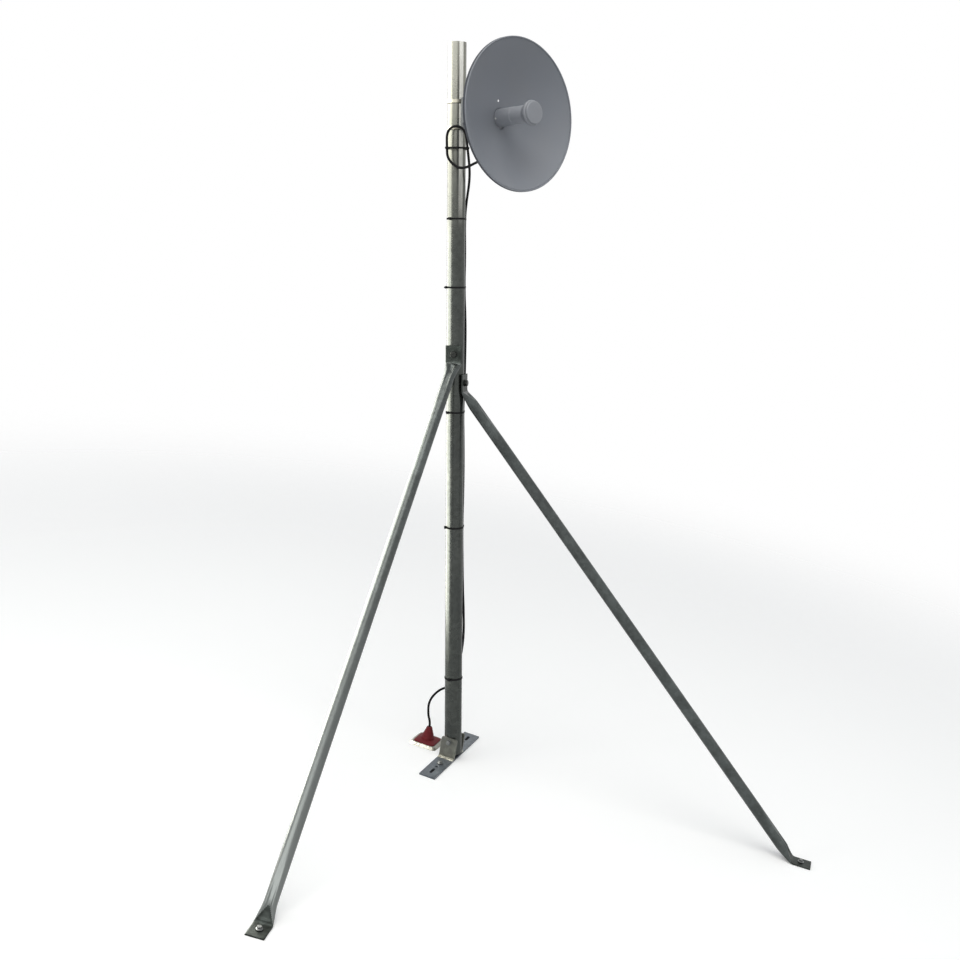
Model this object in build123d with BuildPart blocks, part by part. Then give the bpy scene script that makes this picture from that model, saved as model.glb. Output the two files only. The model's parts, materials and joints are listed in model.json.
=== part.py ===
from build123d import *
from math import atan2, cos, degrees, hypot, pi, radians, sin, tan
import os

os.makedirs("parts", exist_ok=True)

# Mast and roof, in millimetres and degrees
roof_pitch = 9.5
mast_diameter = 50.8
mast_wall = 2.0
mast_length = 2035.0
mast_gap = 5.0
slack = 0.1

# Hinged foot: a flat strip with two ears welded on it
strip_length = 340.0
strip_width = 50.0
plate = 5.0
ear_height = 68.0
pivot_height = 55.8
ear_side_gap = 1.0
weld_leg = 4.0
strip_screw_reach = 78.0
strip_hole_reach = 102.0
strip_slot_reach = 132.0
strip_slot_length = 32.0
screw_hole = 7.0
slot_width = 9.0
ear_corner = 4.0

# Small bolts hold the foot and the dish, large ones the stays
pivot_size = 8.0
stay_bolt_size = 10.0
hex_ratio = 1.62
head_ratio = 0.64
nut_ratio = 0.8
washer_ratio = 2.0
washer_thickness = 1.6
bolt_end = 4.0

# Stays: round tube crushed flat at both ends
stay_diameter = 32.0
stay_wall = 1.6
crush_thickness = 4.0
crush_width = 47.0
crush_length = 45.0
top_above_bolt = 25.0
top_below_bolt = 25.0
pad_length = 52.0
pad_hole_inset = 24.0
front_azimuth = -90.9
front_plate_azimuth = -77.0
front_bolt_z = 1207.0
front_reach = 1038.0
side_azimuth = 4.0
side_plate_azimuth = 4.0
side_bolt_z = 1125.0
side_reach = 1000.0

# Dish, measured along its own axis from the centre of the mast
dish_azimuth = -24.7
dish_tilt = 2.0
dish_drop = 215.1
dish_reach = 247.0
dish_radius = 194.0
dish_depth = 76.0
dish_wall = 1.6
rim_skirt = 11.0
feed_radius = 22.5
feed_step_radius = 23.4
feed_step_length = 57.0
feed_hole_gap = 0.6
feed_flare_length = 19.0
feed_reach = 287.0
feed_cap_radius = 32.0
feed_disc_radius = 29.0
feed_cap_length = 7.0
feed_disc_length = 5.0
sight_hole_up = 42.5
sight_hole_aside = 9.8
sight_hole = 6.0
drain_notch_depth = 4.0
drain_notch_width = 18.0

# Radio body, yoke and clamp behind the dish
hub_radius = 37.0
hub_length = 9.0
radio_radius = 34.0
radio_length = 42.0
arm_plate = 3.0
arm_height = 44.0
arm_rise = 25.3
arm_gap = 12.0
lug_length = 26.0
lug_height = 26.0
saddle_height = 88.0
saddle_width = 16.0
saddle_depth = 10.0
saddle_grip = 3.0
band_width = 9.0
band_thickness = 0.8
band_spread = 70.0
band_screw_azimuth = 100.0
gland_radius = 10.0
gland_length = 22.0

# Cable, its ties, and the rubber boot that it enters
cable_diameter = 7.0
tie_width = 4.8
tie_thickness = 1.4
boot_x = -91.6
boot_y = 33.0
boot_height = 52.0
boot_brim = 34.0
boot_brim_height = 5.0
boot_base = 20.0
boot_tip = 7.0
boot_wall = 2.5
flange_side = 92.0
flange_top_side = 76.0
flange_corner = 12.0
flange_height = 9.0
flange_thickness = 1.5

pitch = radians(roof_pitch)
slope_normal = Vector(sin(pitch), 0, cos(pitch))
slope_down = Vector(cos(pitch), 0, -sin(pitch))
roof = Plane(origin=(0, 0, 0), x_dir=slope_down, z_dir=slope_normal)
mast_x = pivot_height * sin(pitch)
pivot_z = pivot_height * cos(pitch)
mast_radius = mast_diameter / 2
mast_low = (plate / cos(pitch) + (mast_radius - mast_x) * tan(pitch)) + mast_gap
mast_top = mast_low + mast_length
dish_z = mast_top - dish_drop
ear_inner = mast_radius + ear_side_gap
ear_outer = ear_inner + plate


def roof_z(x):
    """Height of the roof plane at a distance along X."""
    return -x * tan(pitch)


def save(piece, name):
    """Label one solid and write it as a STEP file."""
    piece.part.label = name
    export_step(piece.part, "parts/" + name + ".step")


def hex_bolt(base, size, grip, turned=0.0):
    """Head, washer and shank along the plane's axis, from the outer face inwards."""
    with BuildPart() as bolt:
        with BuildSketch(base.offset(0)):
            Circle(size * washer_ratio / 2)
        extrude(amount=washer_thickness)
        with BuildSketch(base.offset(washer_thickness)):
            RegularPolygon(size * hex_ratio / 2, 6, major_radius=False, rotation=turned)
        extrude(amount=size * head_ratio)
        with BuildSketch(base):
            Circle(size / 2)
        extrude(amount=-grip)
    return bolt


def hex_nut(base, size):
    """Washer and nut round the bolt's free end, outwards from the plane."""
    with BuildPart() as nut:
        with BuildSketch(base):
            Circle(size * washer_ratio / 2)
        extrude(amount=washer_thickness)
        with BuildSketch(base.offset(washer_thickness)):
            RegularPolygon(size * hex_ratio / 2, 6, major_radius=False)
        extrude(amount=size * nut_ratio)
        with BuildSketch(base):
            Circle(size / 2 + slack)
        extrude(amount=size * nut_ratio + washer_thickness, mode=Mode.SUBTRACT)
    return nut


# Mast tube with its cross holes
front_dir = Vector(
    cos(radians(front_plate_azimuth)), sin(radians(front_plate_azimuth)), 0
)
side_dir = Vector(
    cos(radians(side_plate_azimuth)), sin(radians(side_plate_azimuth)), 0
)
pivot_plane = Plane(origin=(mast_x, 0, pivot_z), x_dir=(1, 0, 0), z_dir=(0, -1, 0))
front_plane = Plane(origin=(mast_x, 0, front_bolt_z), x_dir=(0, 0, 1), z_dir=front_dir)
side_plane = Plane(origin=(mast_x, 0, side_bolt_z), x_dir=(0, 0, 1), z_dir=side_dir)
with BuildPart() as mast_tube:
    with Locations((mast_x, 0, mast_low)):
        Cylinder(mast_radius, mast_length, align=(Align.CENTER, Align.CENTER, Align.MIN))
        Cylinder(
            mast_radius - mast_wall,
            mast_length,
            align=(Align.CENTER, Align.CENTER, Align.MIN),
            mode=Mode.SUBTRACT,
        )
    with BuildSketch(pivot_plane):
        Circle(pivot_size / 2 + slack)
    extrude(amount=mast_diameter, both=True, mode=Mode.SUBTRACT)
    with BuildSketch(front_plane):
        Circle(stay_bolt_size / 2 + slack)
    extrude(amount=mast_diameter, both=True, mode=Mode.SUBTRACT)
    with BuildSketch(side_plane):
        Circle(stay_bolt_size / 2 + slack)
    extrude(amount=mast_diameter, both=True, mode=Mode.SUBTRACT)
save(mast_tube, "mast_tube")

# Foot strip with screw holes and slots, lying on the slope
with BuildPart() as foot_strip:
    with BuildSketch(roof):
        Rectangle(strip_width, strip_length)
    extrude(amount=plate)
    with BuildSketch(roof):
        with Locations((0, strip_screw_reach), (0, -strip_screw_reach)):
            Circle(screw_hole / 2)
        with Locations((0, strip_hole_reach), (0, -strip_hole_reach)):
            Circle(slot_width / 2)
        with Locations((0, strip_slot_reach), (0, -strip_slot_reach)):
            SlotOverall(strip_slot_length, slot_width, rotation=90)
    extrude(amount=plate, mode=Mode.SUBTRACT)
save(foot_strip, "foot_strip")


def welded_ear(side):
    """One upright ear with its weld, on the side of the mast given by the sign."""
    lower = plate
    face = Plane(
        origin=Vector(0, side * ear_inner, 0),
        x_dir=slope_down * side,
        z_dir=(0, side, 0),
    )
    up = 1.0 if face.y_dir.Z > 0 else -1.0
    with BuildPart() as ear:
        with BuildSketch(face):
            with Locations((0, up * (lower + ear_height) / 2)):
                Rectangle(strip_width, ear_height - lower)
            top = ear_height * up
            corners = [v for v in face_vertices() if abs(v.Y - top) < 1]
            fillet(corners, ear_corner)
        extrude(amount=plate)
        with BuildSketch(face):
            with Locations((0, up * pivot_height)):
                Circle(pivot_size / 2 + slack)
        extrude(amount=plate, mode=Mode.SUBTRACT)
        with BuildSketch(Plane(
            origin=slope_down * (-strip_width / 2) + Vector(0, side * ear_outer, 0),
            x_dir=(0, side, 0),
            z_dir=slope_down,
        )) as bead:
            rise = 1.0 if bead.workplanes[0].y_dir.Z > 0 else -1.0
            with BuildLine():
                Polyline(
                    (0, rise * plate),
                    (weld_leg, rise * plate),
                    (0, rise * (plate + weld_leg)),
                    close=True,
                )
            make_face()
        extrude(amount=strip_width)
    return ear


def face_vertices():
    """Corners of the sketch that is being drawn."""
    return BuildSketch._get_context().vertices()


near_ear = welded_ear(-1)
save(near_ear, "near_ear")
far_ear = welded_ear(1)
save(far_ear, "far_ear")

# Pivot bolt, nut on the camera side as in the picture
near_face = Plane(
    origin=(mast_x, -ear_outer, pivot_z), x_dir=(1, 0, 0), z_dir=(0, -1, 0)
)
far_face = Plane(
    origin=(mast_x, ear_outer, pivot_z), x_dir=(-1, 0, 0), z_dir=(0, 1, 0)
)
pivot_grip = 2 * ear_outer + washer_thickness + pivot_size * nut_ratio + bolt_end
pivot_bolt = hex_bolt(far_face, pivot_size, pivot_grip)
save(pivot_bolt, "pivot_bolt")
pivot_nut = hex_nut(near_face, pivot_size)
save(pivot_nut, "pivot_nut")


def pressed(half):
    """Section of the tube where it is pressed to a half thickness, its girth kept."""
    flat = pi * (stay_diameter / 2 - half)
    SlotCenterToCenter(flat, 2 * half)


def crushed_stay(azimuth, plate_dir, bolt_z, reach):
    """One tube stay: flat top against the mast, flat foot lying on the roof."""
    out = Vector(cos(radians(azimuth)), sin(radians(azimuth)), 0)
    across = Vector(-plate_dir.Y, plate_dir.X, 0)
    centre = Vector(mast_x, 0, 0)
    half = crush_thickness / 2
    barely = stay_diameter / 2 - slack
    plate_centre = centre + plate_dir * (mast_radius + half)
    top_bend = plate_centre + Vector(0, 0, bolt_z - top_below_bolt)
    foot_xy = centre + out * reach
    foot_on_roof = Vector(foot_xy.X, foot_xy.Y, roof_z(foot_xy.X))
    foot_bend = foot_on_roof + slope_normal * half
    along = foot_bend - top_bend
    run = along.length
    along = along.normalized()
    pad_across = slope_normal.cross(along).normalized()
    pad_dir = pad_across.cross(slope_normal).normalized()
    round_top = Plane(
        origin=top_bend + along * crush_length, x_dir=across, z_dir=along
    )
    round_low = Plane(
        origin=foot_bend - along * crush_length, x_dir=pad_across, z_dir=along
    )
    with BuildPart() as stay:
        with BuildSketch(Plane(origin=top_bend, x_dir=across, z_dir=(0, 0, 1))):
            SlotOverall(crush_width, crush_thickness)
        extrude(amount=top_below_bolt + top_above_bolt)
        with BuildSketch(Plane(origin=top_bend, x_dir=across, z_dir=(0, 0, -1))):
            SlotOverall(crush_width, crush_thickness)
        with BuildSketch(round_top):
            pressed(barely)
        loft(ruled=True)
        with BuildSketch(round_top):
            Circle(stay_diameter / 2)
        extrude(amount=run - 2 * crush_length)
        with BuildSketch(round_low):
            pressed(barely)
        with BuildSketch(Plane(origin=foot_bend, x_dir=pad_across, z_dir=pad_dir)):
            SlotOverall(crush_width, crush_thickness)
        loft(ruled=True)
        with BuildSketch(Plane(origin=foot_bend, x_dir=pad_across, z_dir=pad_dir)):
            SlotOverall(crush_width, crush_thickness)
        extrude(amount=pad_length)
        with BuildSketch(round_top):
            Circle(stay_diameter / 2 - stay_wall)
        extrude(amount=run - 2 * crush_length, mode=Mode.SUBTRACT)
        hole_at = foot_bend + pad_dir * pad_hole_inset
        with BuildSketch(Plane(origin=hole_at, x_dir=pad_dir, z_dir=slope_normal)):
            Circle(screw_hole / 2)
        extrude(amount=crush_thickness, both=True, mode=Mode.SUBTRACT)
        bolt_at = centre + Vector(0, 0, bolt_z)
        with BuildSketch(Plane(origin=bolt_at, x_dir=(0, 0, 1), z_dir=plate_dir)):
            Circle(stay_bolt_size / 2 + slack)
        extrude(amount=mast_diameter, mode=Mode.SUBTRACT)
    return stay


front_stay = crushed_stay(front_azimuth, front_dir, front_bolt_z, front_reach)
save(front_stay, "front_stay")
side_stay = crushed_stay(side_azimuth, side_dir, side_bolt_z, side_reach)
save(side_stay, "side_stay")

stay_grip = 2 * mast_radius + crush_thickness + washer_thickness
stay_grip = stay_grip + stay_bolt_size * nut_ratio + bolt_end
front_bolt = hex_bolt(
    front_plane.offset(mast_radius + crush_thickness), stay_bolt_size, stay_grip
)
save(front_bolt, "front_bolt")
side_bolt = hex_bolt(
    side_plane.offset(mast_radius + crush_thickness), stay_bolt_size, stay_grip
)
save(side_bolt, "side_bolt")
front_nut = hex_nut(
    Plane(origin=front_plane.origin - front_dir * mast_radius, x_dir=(0, 0, 1), z_dir=front_dir * -1),
    stay_bolt_size,
)
save(front_nut, "front_nut")
side_nut = hex_nut(
    Plane(origin=side_plane.origin - side_dir * mast_radius, x_dir=(0, 0, 1), z_dir=side_dir * -1),
    stay_bolt_size,
)
save(side_nut, "side_nut")

# Dish frame: origin on the mast's axis, z outwards along the dish, y up
level = Vector(cos(radians(dish_azimuth)), sin(radians(dish_azimuth)), 0)
aim_side = Vector(-level.Y, level.X, 0)
tilt = radians(dish_tilt)
aim = level * cos(tilt) + Vector(0, 0, sin(tilt))
dish_frame = Plane(origin=(mast_x, 0, dish_z), x_dir=aim_side, z_dir=aim)
vertex = dish_reach - dish_depth
hub_hole = feed_step_radius + feed_hole_gap
flare_start = feed_reach - feed_flare_length


def bowl(radius):
    """Distance of the bowl's inner face along the dish axis."""
    return vertex + dish_depth * (radius / dish_radius) ** 2


profile = Plane(origin=dish_frame.origin, x_dir=aim_side, z_dir=aim_side.cross(aim))
with BuildPart() as dish_reflector:
    with BuildSketch(profile):
        with BuildLine():
            inner = [hub_hole + (dish_radius - hub_hole) * step / 8 for step in range(9)]
            front = Spline([(r, bowl(r)) for r in inner])
            lip = Polyline(
                front @ 1,
                (dish_radius + dish_wall, bowl(dish_radius)),
                (dish_radius + dish_wall, bowl(dish_radius) - rim_skirt),
                (dish_radius, bowl(dish_radius) - rim_skirt),
                (dish_radius, bowl(dish_radius) - 2 * dish_wall),
            )
            back = Spline(
                [(r - dish_wall / 2, bowl(r) - 1.15 * dish_wall) for r in reversed(inner[1:-1])]
                + [(hub_hole, bowl(hub_hole) - dish_wall)]
            )
            Line(lip @ 1, back @ 0)
            Line(back @ 1, front @ 0)
        make_face()
    revolve(axis=Axis(dish_frame.origin, aim))
    with BuildSketch(dish_frame):
        with Locations((-sight_hole_aside, sight_hole_up)):
            Circle(sight_hole / 2)
        with Locations((0, -hub_hole)):
            SlotOverall(drain_notch_width, 2 * drain_notch_depth)
    extrude(amount=dish_reach, mode=Mode.SUBTRACT)
save(dish_reflector, "dish_reflector")


def turned(start, stretches):
    """A turned piece on the dish axis from pairs of radius and length."""
    with BuildPart() as piece:
        place = start
        for radius, length in stretches:
            with BuildSketch(dish_frame.offset(place)):
                Circle(radius)
            extrude(amount=length)
            place = place + length
    return piece


feed_start = vertex - dish_wall
feed_tube = turned(feed_start, [(feed_radius, flare_start - feed_start)])
save(feed_tube, "feed_tube")
with BuildPart() as feed_collar:
    with BuildSketch(dish_frame.offset(feed_start)):
        Circle(feed_step_radius)
        Circle(feed_radius, mode=Mode.SUBTRACT)
    extrude(amount=feed_step_length)
save(feed_collar, "feed_collar")
with BuildPart() as feed_cap:
    with BuildSketch(dish_frame.offset(flare_start)):
        Circle(feed_radius)
    with BuildSketch(dish_frame.offset(feed_reach)):
        Circle(feed_cap_radius)
    loft(ruled=True)
    with BuildSketch(dish_frame.offset(feed_reach)):
        Circle(feed_cap_radius)
    extrude(amount=feed_cap_length)
    with BuildSketch(dish_frame.offset(feed_reach + feed_cap_length)):
        Circle(feed_disc_radius)
    extrude(amount=feed_disc_length)
save(feed_cap, "feed_cap")

hub_front = vertex - dish_wall * 1.3
hub_plate = turned(hub_front - hub_length, [(hub_radius, hub_length)])
save(hub_plate, "hub_plate")
radio_back = hub_front - hub_length - radio_length
radio_housing = turned(
    radio_back, [(radio_radius - 4, 6), (radio_radius, radio_length - 6)]
)
save(radio_housing, "radio_housing")

# Aiming arm: a lug on the radio body held between two cheeks of a folded plate
arm_frame = Plane(
    origin=dish_frame.origin + Vector(0, 0, arm_rise), x_dir=aim_side, z_dir=level
)
saddle_back = mast_radius - saddle_grip
web_at = saddle_back + saddle_depth
cheek_at = arm_gap / 2
lug_start = radio_back - lug_length
lug_bolt_at = lug_start + lug_length * 0.45
lug_frame = Plane(
    origin=dish_frame.origin + dish_frame.y_dir * arm_rise, x_dir=aim_side, z_dir=aim
)
with BuildPart() as tilt_lug:
    with BuildSketch(lug_frame.offset(lug_start)):
        Rectangle(arm_gap - 2 * slack, lug_height)
    extrude(amount=lug_length)
    lug_axis = Plane(
        origin=arm_frame.origin + level * lug_bolt_at, x_dir=(0, 0, 1), z_dir=aim_side
    )
    with BuildSketch(lug_axis):
        Circle(pivot_size / 2 + slack)
    extrude(amount=arm_gap, both=True, mode=Mode.SUBTRACT)
save(tilt_lug, "tilt_lug")
cheek_end = lug_bolt_at + pivot_size
with BuildPart() as tilt_arm:
    with BuildSketch(arm_frame.offset(web_at)):
        Rectangle(arm_gap + 2 * arm_plate, arm_height)
    extrude(amount=arm_plate)
    with BuildSketch(arm_frame.offset(web_at)):
        with Locations((cheek_at + arm_plate / 2, 0), (-cheek_at - arm_plate / 2, 0)):
            Rectangle(arm_plate, arm_height)
    extrude(amount=cheek_end - web_at)
    with BuildSketch(lug_axis):
        Circle(pivot_size / 2 + slack)
    extrude(amount=2 * arm_gap, both=True, mode=Mode.SUBTRACT)
save(tilt_arm, "tilt_arm")
tilt_grip = arm_gap + 2 * arm_plate + washer_thickness + pivot_size * nut_ratio + bolt_end
tilt_bolt = hex_bolt(lug_axis.offset(cheek_at + arm_plate), pivot_size, tilt_grip)
save(tilt_bolt, "tilt_bolt")
tilt_nut = hex_nut(
    Plane(
        origin=lug_axis.origin - aim_side * (cheek_at + arm_plate),
        x_dir=(0, 0, 1),
        z_dir=aim_side * -1,
    ),
    pivot_size,
)
save(tilt_nut, "tilt_nut")

saddle_z = dish_z + arm_rise
with BuildPart() as mast_saddle:
    with BuildSketch(arm_frame.offset(saddle_back)):
        Rectangle(saddle_width, saddle_height)
    extrude(amount=saddle_depth)
    with Locations((mast_x, 0, saddle_z)):
        Cylinder(mast_radius, 2 * saddle_height, mode=Mode.SUBTRACT)
    with Locations(
        (mast_x, 0, saddle_z - band_spread / 2), (mast_x, 0, saddle_z + band_spread / 2)
    ):
        Cylinder(mast_radius + 2 * band_thickness, band_width + 1, mode=Mode.SUBTRACT)
save(mast_saddle, "mast_saddle")
screw_angle = radians(band_screw_azimuth)
screw_dir = Vector(cos(screw_angle), sin(screw_angle), 0)
for mark, sign in (("lower", -1), ("upper", 1)):
    band_z = saddle_z + sign * band_spread / 2
    with BuildPart() as band:
        with Locations((mast_x, 0, band_z)):
            Cylinder(mast_radius + band_thickness, band_width)
            Cylinder(mast_radius, band_width, mode=Mode.SUBTRACT)
        with BuildSketch(Plane(
            origin=Vector(mast_x, 0, band_z) + screw_dir * (mast_radius + band_thickness / 2),
            x_dir=(0, 0, 1),
            z_dir=screw_dir,
        )):
            Rectangle(band_width + 3, 16)
        extrude(amount=8)
    save(band, "band_clamp_" + mark)

gland_at = radio_back + radio_length * 0.5
gland_top = dish_frame.origin + aim * gland_at - Vector(0, 0, radio_radius - 2)
gland_plane = Plane(origin=gland_top, x_dir=aim, z_dir=(0, 0, -1))
with BuildPart() as cable_gland:
    with BuildSketch(gland_plane.offset(2.5)):
        RegularPolygon(gland_radius, 6)
    extrude(amount=gland_length * 0.5)
    with BuildSketch(gland_plane.offset(2.5 + gland_length * 0.5)):
        Circle(gland_radius * 0.8)
    extrude(amount=gland_length * 0.5)
    with BuildSketch(gland_plane.offset(gland_length * 0.6)):
        Circle(cable_diameter / 2 + slack)
    extrude(amount=gland_length, mode=Mode.SUBTRACT)
save(cable_gland, "cable_gland")


# Cable route: corner points that the arcs round off
def beside_mast(angle, away, height):
    """A point at an angle round the mast, at a distance from its axis."""
    return Vector(
        mast_x + away * cos(radians(angle)), away * sin(radians(angle)), height
    )


hug = mast_radius + cable_diameter / 2 + 0.6
boot_root = Vector(boot_x, boot_y, roof_z(boot_x))
boot_top = boot_root + slope_normal * boot_height
gland_mouth = gland_top - Vector(0, 0, gland_length * 0.6 + 2)
loop_right = Vector(50, -20, saddle_z - 89.5)
loop_left = Vector(-0.5, -45, saddle_z - 85)
tie_points = [
    beside_mast(60, hug, saddle_z - 277.5),
    beside_mast(60, hug, 0.6843 * mast_length),
    beside_mast(62, hug, 0.5115 * mast_length),
    beside_mast(62, hug, 0.3465 * mast_length),
    beside_mast(91, hug, 0.1219 * mast_length),
]
route = [
    gland_mouth,
    Vector(gland_mouth.X, gland_mouth.Y, saddle_z - 117.5),
    Vector(92, -38, saddle_z - 133.5),
    Vector(26, -38, saddle_z - 141.5),
    Vector(0, -46, saddle_z - 120.5),
    loop_left,
    Vector(0, -46, saddle_z - 44.5),
    Vector(24, -38.5, saddle_z - 29),
    Vector(47, -27, saddle_z - 44.5),
    loop_right,
    Vector(52, -8, saddle_z - 143.5),
    Vector(42, 14, saddle_z - 180),
    Vector(30, 26, saddle_z - 222),
    tie_points[0],
    beside_mast(57, hug + 1.5, 0.7272 * mast_length),
    tie_points[1],
    beside_mast(46, hug + 1.5, 0.6339 * mast_length),
    beside_mast(48, hug + 1.0, 0.5823 * mast_length),
    beside_mast(54, hug + 0.9, 0.5465 * mast_length),
    tie_points[2],
    beside_mast(59, hug + 1.2, 0.4695 * mast_length),
    beside_mast(58, hug + 1.6, 0.4275 * mast_length),
    beside_mast(59.5, hug + 1.2, 0.3870 * mast_length),
    tie_points[3],
    beside_mast(59.5, hug + 0.3, 0.3010 * mast_length),
    beside_mast(54, hug + 1.0, 0.2555 * mast_length),
    beside_mast(46, hug + 1.8, 0.2220 * mast_length),
    beside_mast(40, hug + 2.0, 0.1868 * mast_length),
    beside_mast(62, hug + 2.0, 0.1582 * mast_length),
    beside_mast(84, hug, 0.1345 * mast_length),
    beside_mast(96, hug, 0.1125 * mast_length),
    Vector(-20, 37, 203),
    Vector(-56, 36, 186),
    Vector(-86.5, 34, 148),
    Vector(-88.5, 33.5, 104),
    boot_top + slope_normal * 14,
    boot_top - slope_normal * 6,
]


def corner_radius(before, corner, after):
    """Bend radius of a corner from its shorter run and its turn."""
    first = corner - before
    second = after - corner
    turn = radians(first.get_angle(second))
    shorter = min(first.length, second.length)
    return 0.45 * shorter / tan(turn / 2)


radii = [
    corner_radius(route[k - 1], route[k], route[k + 1]) for k in range(1, len(route) - 1)
]
with BuildPart() as network_cable:
    with BuildLine() as cable_line:
        FilletPolyline(*route, radius=radii)
    start = cable_line.line ^ 0
    with BuildSketch(start):
        Circle(cable_diameter / 2)
    sweep()
save(network_cable, "network_cable")
cable_length = sum(edge.length for edge in cable_line.line.edges())
print("route", [(round(c.X / 1000, 4), round(c.Y / 1000, 4), round(c.Z / 1000, 4)) for c in route])
print("cable length", round(cable_length), "radii", [round(r) for r in radii])
print("cable volume ratio", network_cable.part.volume / (cable_length * pi * cable_diameter**2 / 4))

# Ties: thin bands round the mast and the strands that lie beside it
tie_slack = 1.6
tie_strands = [[loop_right, loop_left]] + [[point] for point in tie_points]


def tie_outline(strands, extra):
    """Hull round the mast and the strands, widened by a margin."""
    Circle(mast_radius + extra)
    for strand in strands:
        with Locations((strand.X - mast_x, strand.Y)):
            Circle(cable_diameter / 2 + tie_slack + extra)
    make_hull()


for number, strands in enumerate(tie_strands, start=1):
    level = Plane(origin=(mast_x, 0, strands[0].Z - tie_width / 2))
    with BuildPart() as tie:
        with BuildSketch(level):
            tie_outline(strands, tie_thickness)
        extrude(amount=tie_width)
        with BuildSketch(level):
            tie_outline(strands, 0)
        extrude(amount=tie_width, mode=Mode.SUBTRACT)
    save(tie, "cable_tie_" + str(number))

# Rubber boot with steps, and the metal flange crimped round its foot
boot_plane = Plane(origin=boot_root, x_dir=slope_down, z_dir=slope_normal)
steps = 4
with BuildPart() as boot_cone:
    seat = flange_height
    with BuildSketch(boot_plane.offset(seat)):
        Circle(boot_brim)
    with BuildSketch(boot_plane.offset(seat + boot_brim_height)):
        Circle(boot_base + boot_wall)
    loft(ruled=True)
    cone_start = seat + boot_brim_height
    for step in range(steps):
        low = cone_start + (boot_height - cone_start) * step / steps
        high = cone_start + (boot_height - cone_start) * (step + 1) / steps
        wide = boot_base + (boot_tip - boot_base) * step / steps
        slim = boot_base + (boot_tip - boot_base) * (step + 0.8) / steps
        with BuildSketch(boot_plane.offset(low)):
            Circle(wide)
        with BuildSketch(boot_plane.offset(high)):
            Circle(slim)
        loft(ruled=True)
    with BuildSketch(boot_plane.offset(seat)):
        Circle(boot_base - boot_wall)
    with BuildSketch(boot_plane.offset(boot_height - 12)):
        Circle(cable_diameter / 2 + slack)
    loft(ruled=True, mode=Mode.SUBTRACT)
    with BuildSketch(boot_plane.offset(boot_height - 12)):
        Circle(cable_diameter / 2 + slack)
    extrude(amount=12, mode=Mode.SUBTRACT)
save(boot_cone, "boot_cone")
with BuildPart() as boot_flange:
    with BuildSketch(boot_plane):
        RectangleRounded(flange_side, flange_side, flange_corner)
    with BuildSketch(boot_plane.offset(flange_height)):
        RectangleRounded(flange_top_side, flange_top_side, flange_corner)
    loft(ruled=True)
    inside = 2 * flange_thickness
    with BuildSketch(boot_plane):
        RectangleRounded(flange_side - inside, flange_side - inside, flange_corner)
    with BuildSketch(boot_plane.offset(flange_height - flange_thickness)):
        RectangleRounded(
            flange_top_side - inside, flange_top_side - inside, flange_corner
        )
    loft(ruled=True, mode=Mode.SUBTRACT)
    with BuildSketch(boot_plane):
        Circle(boot_base - boot_wall)
    extrude(amount=flange_height, mode=Mode.SUBTRACT)
save(boot_flange, "boot_flange")
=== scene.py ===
import json
import logging
import math
from dataclasses import dataclass, field
from enum import Enum
from typing import Any, Callable, Sequence

import bpy
from mathutils import Matrix, Vector, geometry, noise

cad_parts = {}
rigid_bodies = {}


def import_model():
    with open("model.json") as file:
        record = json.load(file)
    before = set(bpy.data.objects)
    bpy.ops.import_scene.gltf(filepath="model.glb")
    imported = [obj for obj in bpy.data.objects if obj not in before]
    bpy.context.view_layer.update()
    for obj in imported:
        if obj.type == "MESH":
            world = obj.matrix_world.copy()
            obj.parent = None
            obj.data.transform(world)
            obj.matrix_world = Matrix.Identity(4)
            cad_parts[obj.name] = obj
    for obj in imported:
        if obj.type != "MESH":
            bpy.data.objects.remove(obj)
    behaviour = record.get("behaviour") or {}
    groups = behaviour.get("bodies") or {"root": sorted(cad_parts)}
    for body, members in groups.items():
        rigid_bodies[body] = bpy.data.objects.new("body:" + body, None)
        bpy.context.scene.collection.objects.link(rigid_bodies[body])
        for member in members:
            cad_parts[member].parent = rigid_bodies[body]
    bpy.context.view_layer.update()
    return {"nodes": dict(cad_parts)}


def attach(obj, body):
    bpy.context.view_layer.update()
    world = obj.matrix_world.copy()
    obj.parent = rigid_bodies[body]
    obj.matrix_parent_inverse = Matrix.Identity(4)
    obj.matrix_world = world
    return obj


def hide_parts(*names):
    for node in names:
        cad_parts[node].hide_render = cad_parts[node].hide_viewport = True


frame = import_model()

log = logging.getLogger("antenna_mast")

MM = 0.001
SLOPE_PITCH = math.radians(9.5)
SLOPE_NORMAL = Vector((math.sin(SLOPE_PITCH), 0.0, math.cos(SLOPE_PITCH)))
SLOPE_DOWN = Vector((math.cos(SLOPE_PITCH), 0.0, -math.sin(SLOPE_PITCH)))
PIVOT_LIFT = 0.0558
MAST_X = PIVOT_LIFT * math.sin(SLOPE_PITCH)
PIVOT_Z = PIVOT_LIFT * math.cos(SLOPE_PITCH)
MAST_RADIUS = 0.0254
DISH_Z = 1.83268
UP = Vector((0.0, 0.0, 1.0))
CORNERS = ((-1, -1), (1, -1), (1, 1), (-1, 1))


class Slot(Enum):
    """The names of the record's material slots."""

    STAY = "stay_steel"
    FOOT = "foot_steel"
    BOLT = "bolt_steel"
    BAND = "band_steel"
    DISH = "dish_paint"
    FEED = "feed_plastic"
    CAP = "cap_plastic"
    BLACK = "black_plastic"
    CABLE = "cable_jacket"
    BOOT = "boot_rubber"
    FLANGE = "flange_aluminium"


class Shows(Enum):
    """What a lamp does: shine in the zinc only, light with no glint of its own, or both."""

    GLOSS = "gloss"
    SOFT = "soft"
    BOTH = "both"


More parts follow.
